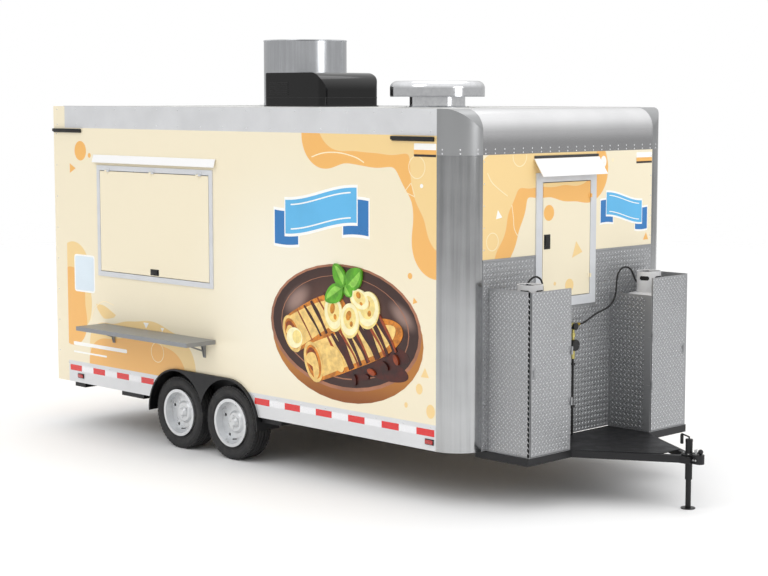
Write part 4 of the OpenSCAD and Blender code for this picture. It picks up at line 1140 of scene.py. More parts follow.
            sides = [
                root, root + along * 0.3 + across, root + along * 0.7 + across * 0.9, tip,
                root + along * 0.7 - across * 0.9, root + along * 0.3 - across, root,
            ]
            lay("mint", smooth_path(sides)[:-1])
            lay(
                "mint_light",
                smooth_path([
                    root + along * 0.1, root + along * 0.35 + across * 0.7,
                    root + along * 0.75 + across * 0.5, root + along * 0.93,
                ]),
            )
            lay(
                "mint_light",
                [root, root + along * 0.5 - across * 0.04, tip, root + along * 0.5 + across * 0.04],
            )
        art.finish_off()


# ---- tape, lamps and bars ----


class TRAILER_OT_tape_and_lamps(Builder, bpy.types.Operator):
    """Lays the safety tape and adds the lamps, marker bars and number plate"""

    bl_idname = "trailer.tape_and_lamps"
    bl_label = "Tape and lamps"

    def build(self, inks, sizes):
        tape = Art("tape")
        low, high = 0.528, 0.582
        for at in (CURB, STREET):
            for first, last in ((0.26, 2.34), (3.72, 5.00)):
                edges = self.lengths(first, last)
                for i, (a, b) in enumerate(edges):
                    finish = "tape_red" if i % 2 == 0 else "tape_white"
                    tape.on(finish).sheet([(a, low), (b, low), (b, high), (a, high)], VINYL, at)
        for i, (a, b) in enumerate(self.lengths(-1.2, 1.2)):
            finish = "tape_red" if i % 2 == 0 else "tape_white"
            tape.on(finish).sheet([(a, low), (b, low), (b, high), (a, high)], VINYL, TAIL)
        tape.finish_off()
        lamps, bases = Form(), Form()
        for at in (CURB, STREET):
            for u in (0.31, 4.83):
                self.lamp(lamps, bases, at, (u, 0.485), 0.040, 0.017)
        for u in (-0.12, 0.0, 0.12):
            self.lamp(lamps, bases, TAIL, (u, 2.90), 0.035, 0.015)
        for u in (-1.10, 1.10):
            self.lamp(lamps, bases, TAIL, (u, 2.90), 0.035, 0.015)
            lamps.lathe(
                [(0, 0.020), (0.030, 0.019), (0.046, 0.014), (0.050, 0.006), (0.050, 0), (0, 0)],
                (u, 0.78, 0), at=TAIL, steps=32,
            )
            bases.lathe(
                [(0.046, 0.004), (0.060, 0.004), (0.063, 0), (0.046, 0)], (u, 0.78, 0), at=TAIL, steps=32,
            )
        piece("red_lamps", lamps, "trailer", "red_lens")
        piece("lamp_bases", bases, "trailer", "black_plastic")
        bars = Form()
        for at in (CURB, STREET):
            for first, last in ((0.27, 0.71), (4.76, 5.19)):
                bars.block((first, 2.766, 0), (last, 2.784, 0.012), 0.002, at=at)
                bars.block((first - 0.005, 2.774, 0.003), (last + 0.005, 2.802, 0.024), 0.005, 2, at)
                for u in (first + 0.06, last - 0.06):
                    bars.block((u - 0.014, 2.770, 0), (u + 0.014, 2.800, 0.006), 0.001, 1, at)
        piece("marker_bars", bars, "trailer", "black_plastic")
        plate, frame_ = Form(), Form()
        at = TAIL @ Matrix.Translation((0.80, 0.92, 0))
        plate.sheet(rectangle(-0.152, -0.076, 0.152, 0.076), 0.004, at, 0.012, 0.003)
        for low, high in (
            ((-0.160, -0.084), (0.160, -0.074)), ((-0.160, 0.074), (0.160, 0.084)),
            ((-0.160, -0.084), (-0.150, 0.084)), ((0.150, -0.084), (0.160, 0.084)),
        ):
            frame_.block((*low, 0), (*high, 0.009), 0.002, at=at)
        frame_.block((-0.05, 0.086, 0), (0.05, 0.105, 0.012), 0.004, at=at)
        piece("blank_plate", plate, "trailer", "vinyl_white")
        piece("plate_frame", frame_, "trailer", "black_plastic")

    def lengths(self, first, last):
        """Ends of alternate red and white lengths that fill a run evenly."""
        count = 2 * round((last - first) / 0.44) + 1
        step = (last - first) / count
        return [(first + i * step, first + (i + 1) * step) for i in range(count)]

    def lamp(self, lamps, bases, at, centre, wide, tall):
        u, v = centre
        bases.block(
            (u - wide - 0.006, v - tall - 0.006, 0), (u + wide + 0.006, v + tall + 0.006, 0.006), 0.003,
            at=at,
        )
        lamps.block((u - wide, v - tall, 0.004), (u + wide, v + tall, 0.016), 0.006, 3, at)


# ---- rivets ----


CAP_ROWS = (CAP_LOW.z + 0.012, CAP_LOW.z + 0.042)


class TRAILER_OT_rivets(Builder, bpy.types.Operator):
    """Sets the rivets and screws along every seam"""

    bl_idname = "trailer.rivets"
    bl_label = "Rivets and screws"

    def row(self, start, end, pitch):
        start, end = Vector(start), Vector(end)
        count = max(1, round((end - start).length / pitch))
        return [start.lerp(end, i / count) for i in range(count + 1)]

    def build(self, inks, sizes):
        cap, nose, sides = [], [], []
        for v in CAP_ROWS:
            cap += self.row((-1.02, v), (1.02, v), 0.108)
        for u in (-1.035, 1.035):
            nose += self.row((u, 0.46), (u, CAP_LOW.z - 0.05), 0.17)
        heads = Form()

        def head(form):
            r = sizes.rivet
            form.lathe(
                [(0, r * 0.42), (r * 0.5, r * 0.36), (r * 0.85, r * 0.17), (r, 0)], steps=12, closed=False,
            )

        heads.stamp(head, [NOSE @ Matrix.Translation((p.x, p.y, 0.0002)) for p in cap])
        heads.stamp(
            head, [NOSE @ Matrix.Translation((p.x, p.y, 0.0030 if p.y < 1.87 else 0.0002)) for p in nose],
        )
        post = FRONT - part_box("front_posts")[0].x
        for v in (RAIL_LOW + 0.03, ROOF - 0.03):
            sides += self.row((post + 0.06, v), (FRONT - REAR - 0.06, v), 0.30)
        sides += self.row((post + 0.05, SKIRT_HIGH.z - 0.025), (2.35, SKIRT_HIGH.z - 0.025), 0.30)
        sides += self.row((3.75, SKIRT_HIGH.z - 0.025), (5.02, SKIRT_HIGH.z - 0.025), 0.30)
        sides += self.row((5.16, 0.70), (5.16, 2.75), 0.29)
        for at in (CURB, STREET):
            heads.stamp(head, [at @ Matrix.Translation((p.x, p.y, 0.0002)) for p in sides])
        tail = [
            *self.row((-1.24, 2.84), (1.24, 2.84), 0.20),
            *self.row((-1.27, 0.70), (-1.27, 2.75), 0.20),
            *self.row((1.27, 0.70), (1.27, 2.75), 0.20),
        ]
        heads.stamp(head, [TAIL @ Matrix.Translation((p.x, p.y, 0.0002)) for p in tail])
        corner_rows = []
        mid = CAP_HIGH.x - 0.245
        for side in (-1, 1):
            for turn in (12, 45, 78):
                a = math.radians(turn)
                for z in CAP_ROWS:
                    place = Vector((mid + 0.245 * math.cos(a), side * (1.05 + 0.245 * math.sin(a)), z))
                    out = Vector((math.cos(a), side * math.sin(a), 0))
                    corner_rows.append(
                        Matrix.Translation(place) @ out.to_track_quat("Z", "Y").to_matrix().to_4x4()
                    )
        heads.stamp(head, corner_rows)
        piece("rivet_heads", heads, "trailer", "chrome", 50)


# ---- tread plate ----


def tread(form, at, low, high, sizes, keep=None, out=0.0):
    """Raised bars crossing at right angles all over a sheet, from one bar by doubling."""
    pitch, rise = sizes.tread_pitch, sizes.tread_rise
    bars = Form()
    for centre, turn in (((0, 0), 45), ((pitch / 2, pitch / 2), -45)):
        a, b = pitch * 0.34, pitch * 0.10
        first = (low[0] + pitch / 2 + centre[0], low[1] + pitch / 2 + centre[1], out)
        spin = Matrix.Translation(first) @ Matrix.Rotation(math.radians(turn), 4, "Z")
        base = [(-a, 0), (-a * 0.45, -b), (a * 0.45, -b), (a, 0), (a * 0.45, b), (-a * 0.45, b)]
        verts = [bars.bm.verts.new(spin @ Vector((u, v, 0))) for u, v in base]
        face = bars.bm.faces.new(verts)
        top = bmesh.ops.extrude_face_region(bars.bm, geom=[face])["geom"]
        raised = [g for g in top if isinstance(g, bmesh.types.BMVert)]
        bmesh.ops.translate(bars.bm, verts=raised, vec=(0, 0, rise))
        middle = sum((v.co for v in raised), Vector()) / len(raised)
        for v in raised:
            v.co = middle + (v.co - middle) * 0.72
    for axis, span in ((0, high[0] - low[0]), (1, high[1] - low[1])):
        for power in range(max(0, math.ceil(math.log2(max(1.0, span / pitch))))):
            move = [0.0, 0.0, 0.0]
            move[axis] = pitch * 2**power
            copy = bmesh.ops.duplicate(bars.bm, geom=[*bars.bm.verts, *bars.bm.edges, *bars.bm.faces])["geom"]
            bmesh.ops.translate(
                bars.bm, verts=[g for g in copy if isinstance(g, bmesh.types.BMVert)], vec=move,
            )
    margin = pitch * 0.36
    gone = set()
    for face in bars.bm.faces:
        if len(face.verts) == 6:
            u, v, _ = face.calc_center_median()
            inside = low[0] + margin < u < high[0] - margin and low[1] + margin < v < high[1] - margin
            if not inside or (keep and not keep(u, v, margin)):
                gone |= {end for v_ in face.verts for e in v_.link_edges for end in e.verts}
    bmesh.ops.delete(bars.bm, geom=list(gone), context="VERTS")
    form.take(bars, at)


class TRAILER_OT_tread_plate(Builder, bpy.types.Operator):
    """Makes the tread plate stone guard and the raised bars of the gas boxes and doors"""

    bl_idname = "trailer.tread_plate"
    bl_label = "Tread plate"

    def build(self, inks, sizes):
        thick, top, edge = 0.003, 1.873, 1.05
        hole = (NOSE_LOW.y - 0.080, NOSE_HIGH.y + 0.080, NOSE_LOW.z - 0.080)
        guard = Form()
        outline = [
            (-edge, SKIRT_LOW.z), (edge, SKIRT_LOW.z), (edge, top), (hole[1], top), (hole[1], hole[2]),
            (hole[0], hole[2]), (hole[0], top), (-edge, top),
        ]
        guard.sheet(outline, thick, NOSE)
        guard.block((-edge, top - 0.012, 0), (hole[0], top + 0.006, 0.006), 0.002, at=NOSE)
        guard.block((hole[1], top - 0.012, 0), (edge, top + 0.006, 0.006), 0.002, at=NOSE)
        piece("stone_guard", guard, "trailer", "tread_plate")
        bars = Form()

        def clear_of_tongue(u, v, m):
            return v < hole[2] - m or u < hole[0] - m or u > hole[1] + m

        tread(bars, NOSE, (-edge, SKIRT_LOW.z), (edge, top - 0.01), sizes, clear_of_tongue, thick)
        piece("stone_guard_bars", bars, "trailer", "tread_bar", 50)
        box_bars = Form()
        wide = GAS_HIGH.y
        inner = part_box("gas_door_street")[0].y - 0.010
        for side in (-1, 1):
            outer = surface((FRONT, side * wide, 0), (1, 0, 0), (0, side, 0))
            tread(box_bars, outer, (0.004, GAS_LOW.z), (GAS_HIGH.x - FRONT - 0.012, GAS_HIGH.z), sizes)
            cheek = surface((FRONT, side * inner, 0), (1, 0, 0), (0, -side, 0))
            tread(
                box_bars, cheek, (0.012, GAS_LOW.z), (GAS_HIGH.x - FRONT - 0.060, GAS_HIGH.z - 0.150), sizes,
            )
        piece("gas_box_bars", box_bars, "trailer", "tread_bar", 50)
        for side, name in ((-1, "gas_door_curb"), (1, "gas_door_street")):
            low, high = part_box(name)
            door = Form()
            span = sorted((side * (abs(inner) + 0.012), side * (wide - 0.010)))
            tread(
                door, surface((FRONT + 0.425, 0, 0), (0, 1, 0), (1, 0, 0)), (span[0], low.z),
                (span[1], high.z), sizes,
            )
            piece(f"{name}_bars", door, name, "tread_bar", 50)


# ---- latches, gaskets and pressed panels ----


def paddle(form, at, centre, wide, tall):
    """A paddle latch: its plate, the paddle and the lock beside it."""
    u, v = centre
    form.block((u - wide / 2, v - tall / 2, 0), (u + wide / 2, v + tall / 2, 0.003), 0.0015, at=at)
    form.block(
        (u - wide * 0.38, v - tall * 0.26, 0.002), (u + wide * 0.38, v + tall * 0.40, 0.011), 0.004, 3, at,
    )
    lock = min(wide, tall) * 0.11
    form.rod((u, v - tall * 0.38, 0.002), (u, v - tall * 0.38, 0.006), lock, sides=20, edge=0.001, at=at)


def frame_of(form, at, low, high, width, thick, edge=0.0015):
    """Four flat bars round a rectangle."""
    (a, b), (c, d) = low, high
    for corners in (
        ((a, b), (c, b + width)), ((a, d - width), (c, d)),
        ((a, b + width), (a + width, d - width)), ((c - width, b + width), (c, d - width)),
    ):
        form.block((*corners[0], 0), (*corners[1], thick), edge, 1, at)


class TRAILER_OT_hatch_fittings(Builder, bpy.types.Operator):
    """Adds latches, gaskets and inner panels to the hatches and the rear door"""

    bl_idname = "trailer.hatch_fittings"
    bl_label = "Hatch and door fittings"

    def build(self, inks, sizes):
        proud, wall = 0.010, 0.050
        self.panel(
            "window_hatch", surface((FRONT, wall - SIDE - proud, 0), (-1, 0, 0), (0, 1, 0)),
            (FRONT - HATCH_HIGH.x, HATCH_LOW.z), (FRONT - HATCH_LOW.x, HATCH_HIGH.z - 0.011), 0.13,
        )
        self.panel(
            "front_hatch", surface((FRONT + proud - wall, 0, 0), (0, 1, 0), (-1, 0, 0)),
            (NOSE_LOW.y, NOSE_LOW.z), (0.222, NOSE_HIGH.z), 0.09,
        )
        self.panel(
            "rear_door", surface((REAR - proud + wall, 0, 0), (0, 1, 0), (1, 0, 0)),
            (-0.424, DOOR_LOW.z), (DOOR_HIGH.y, DOOR_HIGH.z), 0.09,
        )
        window, nose, door = Form(), Form(), Form()
        paddle(window, surface((FRONT, -SIDE - proud, 0), (-1, 0, 0), (0, -1, 0)), (3.67, 1.545), 0.12, 0.055)
        piece("window_latch", window, "window_hatch", "black_plastic")
        paddle(nose, surface((FRONT + proud, 0, 0), (0, 1, 0), (1, 0, 0)), (-0.31, 1.975), 0.075, 0.115)
        piece("front_hatch_latch", nose, "front_hatch", "black_plastic")
        outside = surface((REAR - proud, 0, 0), (0, 1, 0), (-1, 0, 0))
        paddle(door, outside, (0.345, 1.58), 0.085, 0.14)
        for v in (1.02, 2.14):
            door.block((0.39, v - 0.03, 0), (0.42, v + 0.03, 0.004), 0.001, at=outside)
        piece("door_latch", door, "rear_door", "black_plastic")
        strip = Form().block((-0.46, 2.626, 0), (0.33, 2.646, 0.008), 0.003, at=NOSE)
        piece("drip_seal", strip, "trailer", "grey_rubber")
        step = Form()
        step.block((-0.43, FLOOR, -0.048), (0.43, FLOOR + 0.004, -0.002), 0.001, at=TAIL)
        for k in range(5):
            step.block(
                (-0.41, FLOOR + 0.003, -0.044 + k * 0.009), (0.41, FLOOR + 0.0055, -0.040 + k * 0.009), 0.001,
                1, TAIL,
            )
        piece("door_sill", step, "trailer", "bright_steel")
        holder = Form()
        holder.block((-0.66, 1.40, 0), (-0.60, 1.46, 0.004), 0.001, at=TAIL).rod(
            (-0.63, 1.43, 0.003), (-0.63, 1.43, 0.024), 0.011, sides=20, edge=0.002, at=TAIL,
        )
        piece("door_holder", holder, "trailer", "black_plastic")

    def panel(self, body, at, low, high, inset):
        """A gasket near the edge of a door's inner face, and a pressed panel inside it."""
        (a, b), (c, d) = low, high
        gasket = Form()
        frame_of(gasket, at, (a + 0.012, b + 0.012), (c - 0.012, d - 0.012), 0.012, 0.005, 0.002)
        piece(f"gasket_{body}", gasket, body, "grey_rubber")
        inner = Form().block((a + inset, b + inset, 0), (c - inset, d - inset, 0.004), 0.003, 2, at)
        frame_of(
            inner, at, (a + inset + 0.03, b + inset + 0.03), (c - inset - 0.03, d - inset - 0.03), 0.02,
            0.008, 0.003,
        )
        piece(f"inner_panel_{body}", inner, body, "satin_rail")


class TRAILER_OT_gas_fittings(Builder, bpy.types.Operator):
    """Adds door latches, cylinder seams, collar slots, valve wheels and box edges"""

    bl_idname = "trailer.gas_fittings"
    bl_label = "Gas equipment fittings"

    def build(self, inks, sizes):
        face = FRONT + 0.425
        for side, body in ((-1, "gas_door_curb"), (1, "gas_door_street")):
            latch = Form()
            paddle(latch, surface((face, 0, 0), (0, 1, 0), (1, 0, 0)), (side * 0.940, 1.05), 0.034, 0.085)
            piece(f"{body}_latch", latch, body, "tread_plate")
        seams, slots, wheels = Form(), Form(), Form()
        for side in (-1, 1):
            x, y = FRONT + 0.210, side * 0.745
            for z in (0.52, 0.93, 1.34):
                seams.lathe(
                    [(0.1866, z - 0.004), (0.1886, z - 0.002), (0.1886, z + 0.002), (0.1866, z + 0.004)],
                    (x, y, 0), steps=64,
                )
            seams.lathe(
                [(0.094, 1.684), (0.094, 1.688), (0.097, 1.6895), (0.101, 1.688), (0.101, 1.684)], (x, y, 0),
                steps=48,
            )
            for middle in (0, 75, -75):
                for k in range(-5, 6):
                    turn = Matrix.Rotation(math.radians(middle + k * 4.2), 4, "Z")
                    tall = 0.017 if abs(k) < 5 else 0.011
                    slots.block(
                        (0.0985, -0.0042, 1.636 - tall), (0.1008, 0.0042, 1.636 + tall),
                        at=Matrix.Translation((x, y, 0)) @ turn,
                    )
            rim = [(0.026, -0.006), (0.033, -0.006), (0.036, 0.0), (0.033, 0.006), (0.026, 0.006)]
            wheels.lathe(rim, (x, y, 1.675), steps=36)
        piece("cylinder_seams", seams, "trailer", "cylinder_white")
        piece("collar_slots", slots, "trailer", "black_plastic")
        piece("valve_wheels", wheels, "trailer", "black_plastic")
        edges = Form()
        for side in (-1, 1):
            outer = GAS_HIGH.y * side
            low_y, high_y = sorted((outer - side * 0.006, outer))
            edges.block(
                (FRONT + 0.398, low_y, GAS_LOW.z + 0.005), (FRONT + 0.4195, high_y, GAS_HIGH.z), 0.001,
            )
            near, far = sorted((side * 0.510, side * 0.980))
            edges.block(
                (FRONT, near, GAS_LOW.z + 0.0045), (FRONT + 0.404, far, GAS_LOW.z + 0.0065), 0.0005, 1,
            )
            for z in (0.9, 1.3):
                straps_low, straps_high = sorted((side * 0.558, side * 0.932))
                edges.block(
                    (FRONT + 0.004, straps_low, z - 0.012), (FRONT + 0.018, straps_high, z + 0.012), 0.002,
                )
        piece("gas_box_edges", edges, "trailer", "bright_steel")


class TRAILER_OT_roof_fittings(Builder, bpy.types.Operator):
    """Adds the roof's seams, the cooler's lips and louvres, the stack's guard and the vent's flange"""

    bl_idname = "trailer.roof_fittings"
    bl_label = "Roof fittings"

    def build(self, inks, sizes):
        seams = Form()
        for x in (-1.98, -3.32, -5.62):
            seams.block(
                (x - 0.03, -SIDE + 0.055, ROOF - 0.0005), (x + 0.03, SIDE - 0.055, ROOF + 0.002), 0.0008, 1,
            )
        for y in (-1.225, 1.215):
            seams.block((REAR + 0.06, y, ROOF - 0.0005), (FRONT - 0.26, y + 0.012, ROOF + 0.003), 0.001, 1)
        piece("roof_seams", seams, "trailer", "roof_coat")
        self.cooler()
        self.stack()
        self.vent()

    def outline(self, low, high, grow):
        return [
            (low.x - grow, low.y - grow), (high.x + grow, low.y - grow),
            (high.x + grow, high.y + grow), (low.x - grow, high.y + grow),
        ]

    def cooler(self):
        lips = Form()
        for z, thick, grow in ((ROOF, 0.010, 0.014), (ROOF + 0.076, 0.005, 0.0018)):
            lips.sheet(
                self.outline(AC_LOW, AC_HIGH, grow), thick, Matrix.Translation((0, 0, z)), 0.06 + grow,
                edge=0.001,
            )
        for side in (-1, 1):
            for k in range(7):
                y = side * (AC_HIGH.y + 0.0005)
                z = ROOF + 0.105 + k * 0.017
                low_y, high_y = sorted((y, y + side * 0.004))
                lips.block((AC_LOW.x + 0.09, low_y, z), (AC_LOW.x + 0.34, high_y, z + 0.006), 0.001, 1)
        piece("cooler_lips", lips, "trailer", "black_plastic")
        grille = Form()
        for k in range(9):
            y = -0.20 + k * 0.05
            grille.block(
                (AC_LOW.x - 0.004, y - 0.018, ROOF + 0.10), (AC_LOW.x + 0.001, y + 0.018, ROOF + 0.106),
                0.001, 1,
            )
            for row in range(1, 6):
                z = ROOF + 0.10 + row * 0.02
                grille.block(
                    (AC_LOW.x - 0.004, y - 0.018, z), (AC_LOW.x + 0.001, y + 0.018, z + 0.006), 0.001, 1,
                )
        piece("cooler_grille", grille, "trailer", "black_plastic")

    def stack(self):
        middle = (STACK_LOW + STACK_HIGH) / 2
        radius, top = (STACK_HIGH.x - STACK_LOW.x) / 2, STACK_HIGH.z
        place = Matrix.Translation((middle.x, middle.y, 0))
        shell = Form()
        bead = [
            (radius + 0.005 * math.cos(a), top - 0.006 + 0.005 * math.sin(a))
            for a in (math.tau * k / 8 for k in range(8))
        ]
        shell.lathe(bead, at=place, steps=96)
        shell.lathe(
            [
                (radius, ROOF), (radius + 0.055, ROOF), (radius + 0.055, ROOF + 0.003),
                (radius + 0.004, ROOF + 0.003), (radius + 0.002, ROOF + 0.030), (radius, ROOF + 0.030),
            ],
            at=place, steps=96,
        )
        for turn in (200, 20):
            spin = place @ Matrix.Rotation(math.radians(turn), 4, "Z")
            shell.block(
                (radius - 0.001, -0.012, ROOF + 0.03), (radius + 0.0022, 0.012, top - 0.012), 0.001, 1, spin,
            )
        piece("stack_trim", shell, "trailer", "bright_steel")
        fan = Form()
        for k in range(8):
            turn, reach = Matrix.Rotation(math.tau * k / 8, 4, "Z"), Matrix.Translation((0.26, 0, 3.24))
            spin = place @ turn @ reach @ Matrix.Rotation(math.radians(32), 4, "X")
            fan.block((-0.118, -0.065, -0.002), (0.112, 0.065, 0.002), 0.0015, 1, spin)
        fan.lathe(
            [(0.0, 3.342), (0.06, 3.342), (0.075, 3.338), (0.085, 3.330), (0.085, 3.328), (0, 3.328)],
            at=place, steps=32,
        )
        piece("stack_fan", fan, "trailer", "black_plastic")
        guard = Form()
        for r in (0.08, 0.16, 0.24, 0.32, 0.385):
            wire = [
                (r + 0.0025 * math.cos(a), 3.600 + 0.0025 * math.sin(a))
                for a in (math.tau * k / 6 for k in range(6))
            ]
            guard.lathe(wire, at=place, steps=64)
        for k in range(6):
            a = math.tau * k / 12
            tip = Vector((math.cos(a), math.sin(a), 0)) * (radius - 0.006)
            guard.rod(-tip + Vector((0, 0, 3.596)), tip + Vector((0, 0, 3.596)), 0.0025, sides=8, at=place)
        piece("stack_guard", guard, "trailer", "zinc")

    def vent(self):
        middle = (VENT_LOW + VENT_HIGH) / 2
        place = Matrix.Translation((middle.x, middle.y, 0))
        form = Form()
        form.lathe(
            [
                (0.234, ROOF), (0.285, ROOF), (0.285, ROOF + 0.003), (0.240, ROOF + 0.003),
                (0.237, ROOF + 0.014), (0.234, ROOF + 0.014),
            ],
            at=place, steps=64,
        )
        form.lathe(
            [(0.396, 3.1048), (0.3985, 3.103), (0.3985, 3.098), (0.392, 3.098), (0.390, 3.1045)], at=place,
            steps=64,
        )
        for k in range(12):
            a = math.tau * k / 12
            spot = Vector((0.268 * math.cos(a), 0.268 * math.sin(a), ROOF + 0.003))
            form.rod(spot, spot + Vector((0, 0, 0.003)), 0.006, 0.004, 12, at=place)
        piece("vent_trim", form, "trailer", "bright_steel")


class TRAILER_OT_running_gear(Builder, bpy.types.Operator):
    """Adds spring bolts, axle plates and backing plates below"""

    bl_idname = "trailer.running_gear"
    bl_label = "Running gear"

    def build(self, inks, sizes):
        bolts, plates, drums = Form(), Form(), Form()
        for centre in WHEELS.values():
            side = -1 if centre.y < 0 else 1
            spring = side * (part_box("leaf_springs")[1].y - 0.025)
            for dx in (-0.047, 0.047):
                for dy in (-0.037, 0.037):
                    x, y = centre.x + dx, spring + dy
                    bolts.rod((x, y, 0.270), (x, y, 0.398), 0.0055, sides=12)
                    bolts.rod((x, y, 0.273), (x, y, 0.281), 0.0105, sides=6, edge=0.001)
                bolts.rod(
                    (centre.x + dx, spring - 0.037, 0.398), (centre.x + dx, spring + 0.037, 0.398), 0.0055,
                    sides=12,
                )
            plates.block(
                (centre.x - 0.062, spring - 0.050, 0.2815), (centre.x + 0.062, spring + 0.050, 0.288), 0.002,
            )
            for dx in (-0.331, 0.331):
                x = centre.x + dx
                bolts.rod((x, spring - 0.042, 0.386), (x, spring + 0.042, 0.386), 0.008, sides=16, edge=0.001)
            place = surface((centre.x, 0, centre.z), (1, 0, 0), (0, side, 0))
            drums.lathe(
                [
                    (0.040, 1.030), (0.126, 1.030), (0.132, 1.036), (0.132, 1.052), (0.128, 1.052),
                    (0.126, 1.040), (0.040, 1.040),
                ],
                at=place, steps=48,
            )
            for k in range(4):
                a = math.tau * (k + 0.5) / 4
                u, v = 0.06 * math.cos(a), 0.06 * math.sin(a)
                drums.rod((u, v, 1.020), (u, v, 1.031), 0.009, sides=6, edge=0.001, at=place)
        piece("spring_bolts", bolts, "trailer", "zinc", 40)
        piece("axle_plates", plates, "trailer", "black_frame")
        piece("backing_plates", drums, "trailer", "black_frame", 40)


class TRAILER_OT_tongue_fittings(Builder, bpy.types.Operator):
    """Adds the jack's flange and grip, and the coupler's lever and bolts"""

    bl_idname = "trailer.tongue_fittings"
    bl_label = "Tongue fittings"

    def build(self, inks, sizes):
        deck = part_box("tongue_frame")[1].z
        jack = Form()
        jack.lathe(
            [
                (0.0275, deck), (0.060, deck), (0.060, deck + 0.007), (0.034, deck + 0.007),
                (0.0285, deck + 0.016), (0.0275, deck + 0.016),
            ],
            steps=40,
        )
        jack.lathe(
            [(0.0, 0.5335), (0.024, 0.5335), (0.0285, 0.530), (0.0285, 0.512), (0.0272, 0.512)], steps=40,
            closed=False,
        )
        piece("jack_flange", jack, "trailer", "black_jack", 40)
        bolts = Form()
        for k in range(3):
            a = math.tau * (k + 0.5) / 3
            spot = Vector((0.047 * math.cos(a), 0.047 * math.sin(a), deck + 0.007))
            bolts.rod(spot, spot + Vector((0, 0, 0.006)), 0.008, sides=6, edge=0.001)
        low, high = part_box("coupler")
        for x in (low.x + 0.012, low.x + 0.034):
            for side in (-1, 1):
                bolts.rod((x, side * 0.037, 0.385), (x, side * 0.0445, 0.385), 0.008, sides=6, edge=0.001)
        piece("tongue_bolts", bolts, "trailer", "zinc", 40)
        grip = Form()
        a = math.radians(150)
        spot = Vector((0.130 * math.cos(a), 0.130 * math.sin(a), 0))
        ribs = [(0.0112, 0.474), (0.0128, 0.477)]
        for k in range(6):
            z = 0.480 + k * 0.011
            ribs += [(0.0132, z), (0.0132, z + 0.006), (0.0120, z + 0.008), (0.0120, z + 0.009)]
        ribs += [(0.0112, 0.548)]
        grip.lathe([*ribs, (0.0101, 0.548), (0.0101, 0.474)], spot, steps=24)
        piece("crank_grip", grip, "trailer", "black_plastic")
        lever = Form()
        lever.block((low.x + 0.004, -0.012, 0.4385), (high.x - 0.046, 0.012, 0.4455), 0.003)
        lever.block((low.x + 0.002, -0.015, 0.444), (low.x + 0.014, 0.015, 0.462), 0.003)
        lever.rod((low.x + 0.028, -0.026, 0.436), (low.x + 0.028, 0.026, 0.436), 0.005, sides=16)
        piece("coupler_lever", lever, "trailer", "zinc")




# ---- stage ----

CAMERA_PLACE = (7.6586, -10.9106, 3.1057)
CAMERA_TURN, CAMERA_DROP, CAMERA_LENS = 44.99, 6.205, 82.866


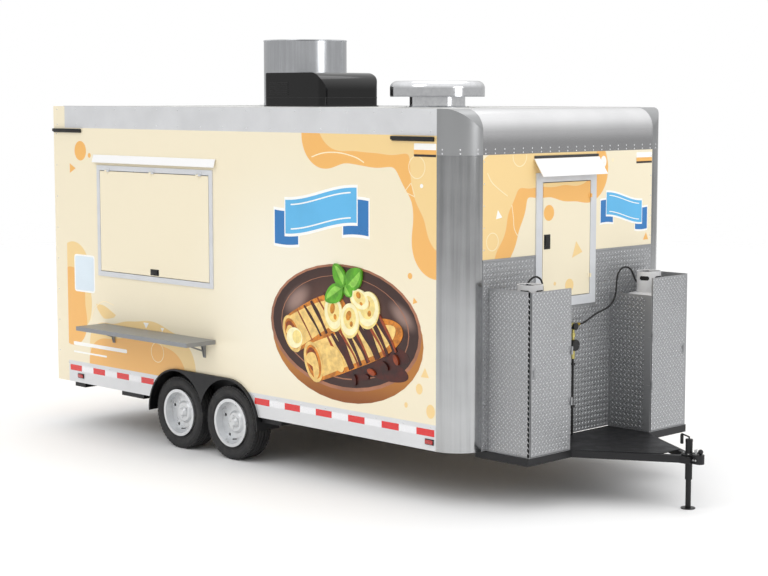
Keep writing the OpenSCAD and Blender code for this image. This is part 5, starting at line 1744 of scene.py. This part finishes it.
class TRAILER_OT_stage(Builder, bpy.types.Operator):
    """Sets the pale floor, the soft lights and the camera"""

    bl_idname = "trailer.stage"
    bl_label = "Stage"

    def build(self, inks, sizes):
        scene = bpy.context.scene
        scene.view_settings.view_transform = "Standard"
        floor = Form()
        bmesh.ops.create_grid(
            floor.bm, x_segments=1, y_segments=1, size=60.0, matrix=Matrix.Translation((-3, 0, 0)),
        )
        mesh = bpy.data.meshes.new("studio_floor")
        floor.bm.to_mesh(mesh)
        floor.bm.free()
        pale = Finish("pale_floor")
        pale.shader.inputs["Specular IOR Level"].default_value = 0.1
        soft = pale.noise(0.4, 3.0)
        pale.set(Base_Color=pale.mix(soft, "#F4F4F4", "#F8F8F8"), Roughness=0.9)
        x, y, _ = pale.axes()
        far = pale.away(pale.point(x, y), (-3.0, 0.0)).ramp(9.0, 30.0)
        clear = pale.node("ShaderNodeBsdfTransparent")
        faded = pale.node("ShaderNodeMixShader", (), far, Value(pale, pale.shader.outputs[0]), clear)
        pale.feed(pale.tree.nodes["Material Output"].inputs["Surface"], faded)
        mesh.materials.append(pale.material)
        studio = bpy.data.objects.new("studio_floor", mesh)
        scene.collection.objects.link(studio)
        self.world(scene)
        self.lamp("key", (-3.6, -9.5, 9.5), (-3.8, 0, 1.0), 7.0, 145)
        self.lamp("nose_fill", (9.0, 1.0, 5.0), (-1.2, 0, 1.4), 5.0, 170)
        self.lamp("top", (-4.0, 2.0, 10.0), (-4.0, 0, 0), 8.0, 190)
        camera = bpy.data.objects.new("camera", bpy.data.cameras.new("camera"))
        camera.data.lens, camera.data.sensor_width, camera.data.clip_end = CAMERA_LENS, 36.0, 200.0
        turn, drop = math.radians(CAMERA_TURN), math.radians(CAMERA_DROP)
        ahead = Vector((-math.cos(turn) * math.cos(drop), math.sin(turn) * math.cos(drop), -math.sin(drop)))
        camera.location = CAMERA_PLACE
        camera.rotation_euler = ahead.to_track_quat("-Z", "Y").to_euler()
        scene.collection.objects.link(camera)
        scene.camera = camera

    def world(self, scene):
        """White behind the object, and light that is softer near the horizon than overhead."""
        world = scene.world or bpy.data.worlds.new("studio")
        scene.world = world
        sky = Sky(world)
        height = sky.axes(sky.node("ShaderNodeTexCoord", out="Generated"))[2]
        glow = height.ramp(-0.1, 0.8, 0.56, 1.2)
        seen = sky.node("ShaderNodeLightPath", out="Is Camera Ray")
        sky.shader.inputs["Color"].default_value = (1.0, 1.0, 1.0, 1.0)
        sky.set(Strength=glow + (1.0 - glow) * seen)

    def lamp(self, name, place, target, size_, power):
        light = bpy.data.lights.new(name, "AREA")
        light.shape, light.size, light.energy = "DISK", size_, power
        lamp = bpy.data.objects.new(name, light)
        lamp.location = place
        lamp.rotation_euler = (Vector(target) - Vector(place)).to_track_quat("-Z", "Y").to_euler()
        bpy.context.scene.collection.objects.link(lamp)


# ---- add-on ----

OPERATORS = (
    TRAILER_OT_finishes, TRAILER_OT_hoses, TRAILER_OT_tyres, TRAILER_OT_wheel_trim, TRAILER_OT_wall_art,
    TRAILER_OT_dish_picture, TRAILER_OT_tape_and_lamps, TRAILER_OT_rivets, TRAILER_OT_tread_plate,
    TRAILER_OT_hatch_fittings, TRAILER_OT_gas_fittings, TRAILER_OT_roof_fittings, TRAILER_OT_running_gear,
    TRAILER_OT_tongue_fittings, TRAILER_OT_stage,
)


class TRAILER_PT_build(bpy.types.Panel):
    """Sizes, colours and the steps of the build"""

    bl_label = "Food concession trailer"
    bl_space_type = "VIEW_3D"
    bl_region_type = "UI"
    bl_category = "Trailer"

    def draw(self, context):
        for group in (context.scene.wrap_inks, context.scene.fitting_sizes):
            for key in group.__annotations__:
                self.layout.prop(group, key)
        for operator in OPERATORS:
            self.layout.operator(operator.bl_idname)


CLASSES = (WrapInks, FittingSizes, *OPERATORS, TRAILER_PT_build)


def register():
    for cls in CLASSES:
        bpy.utils.register_class(cls)
    bpy.types.Scene.wrap_inks = bpy.props.PointerProperty(type=WrapInks)
    bpy.types.Scene.fitting_sizes = bpy.props.PointerProperty(type=FittingSizes)


def unregister():
    del bpy.types.Scene.wrap_inks, bpy.types.Scene.fitting_sizes
    for cls in reversed(CLASSES):
        bpy.utils.unregister_class(cls)


def main():
    register()
    for operator in OPERATORS:
        group, name = operator.bl_idname.split(".")
        getattr(getattr(bpy.ops, group), name)()


if __name__ == "__main__":
    main()
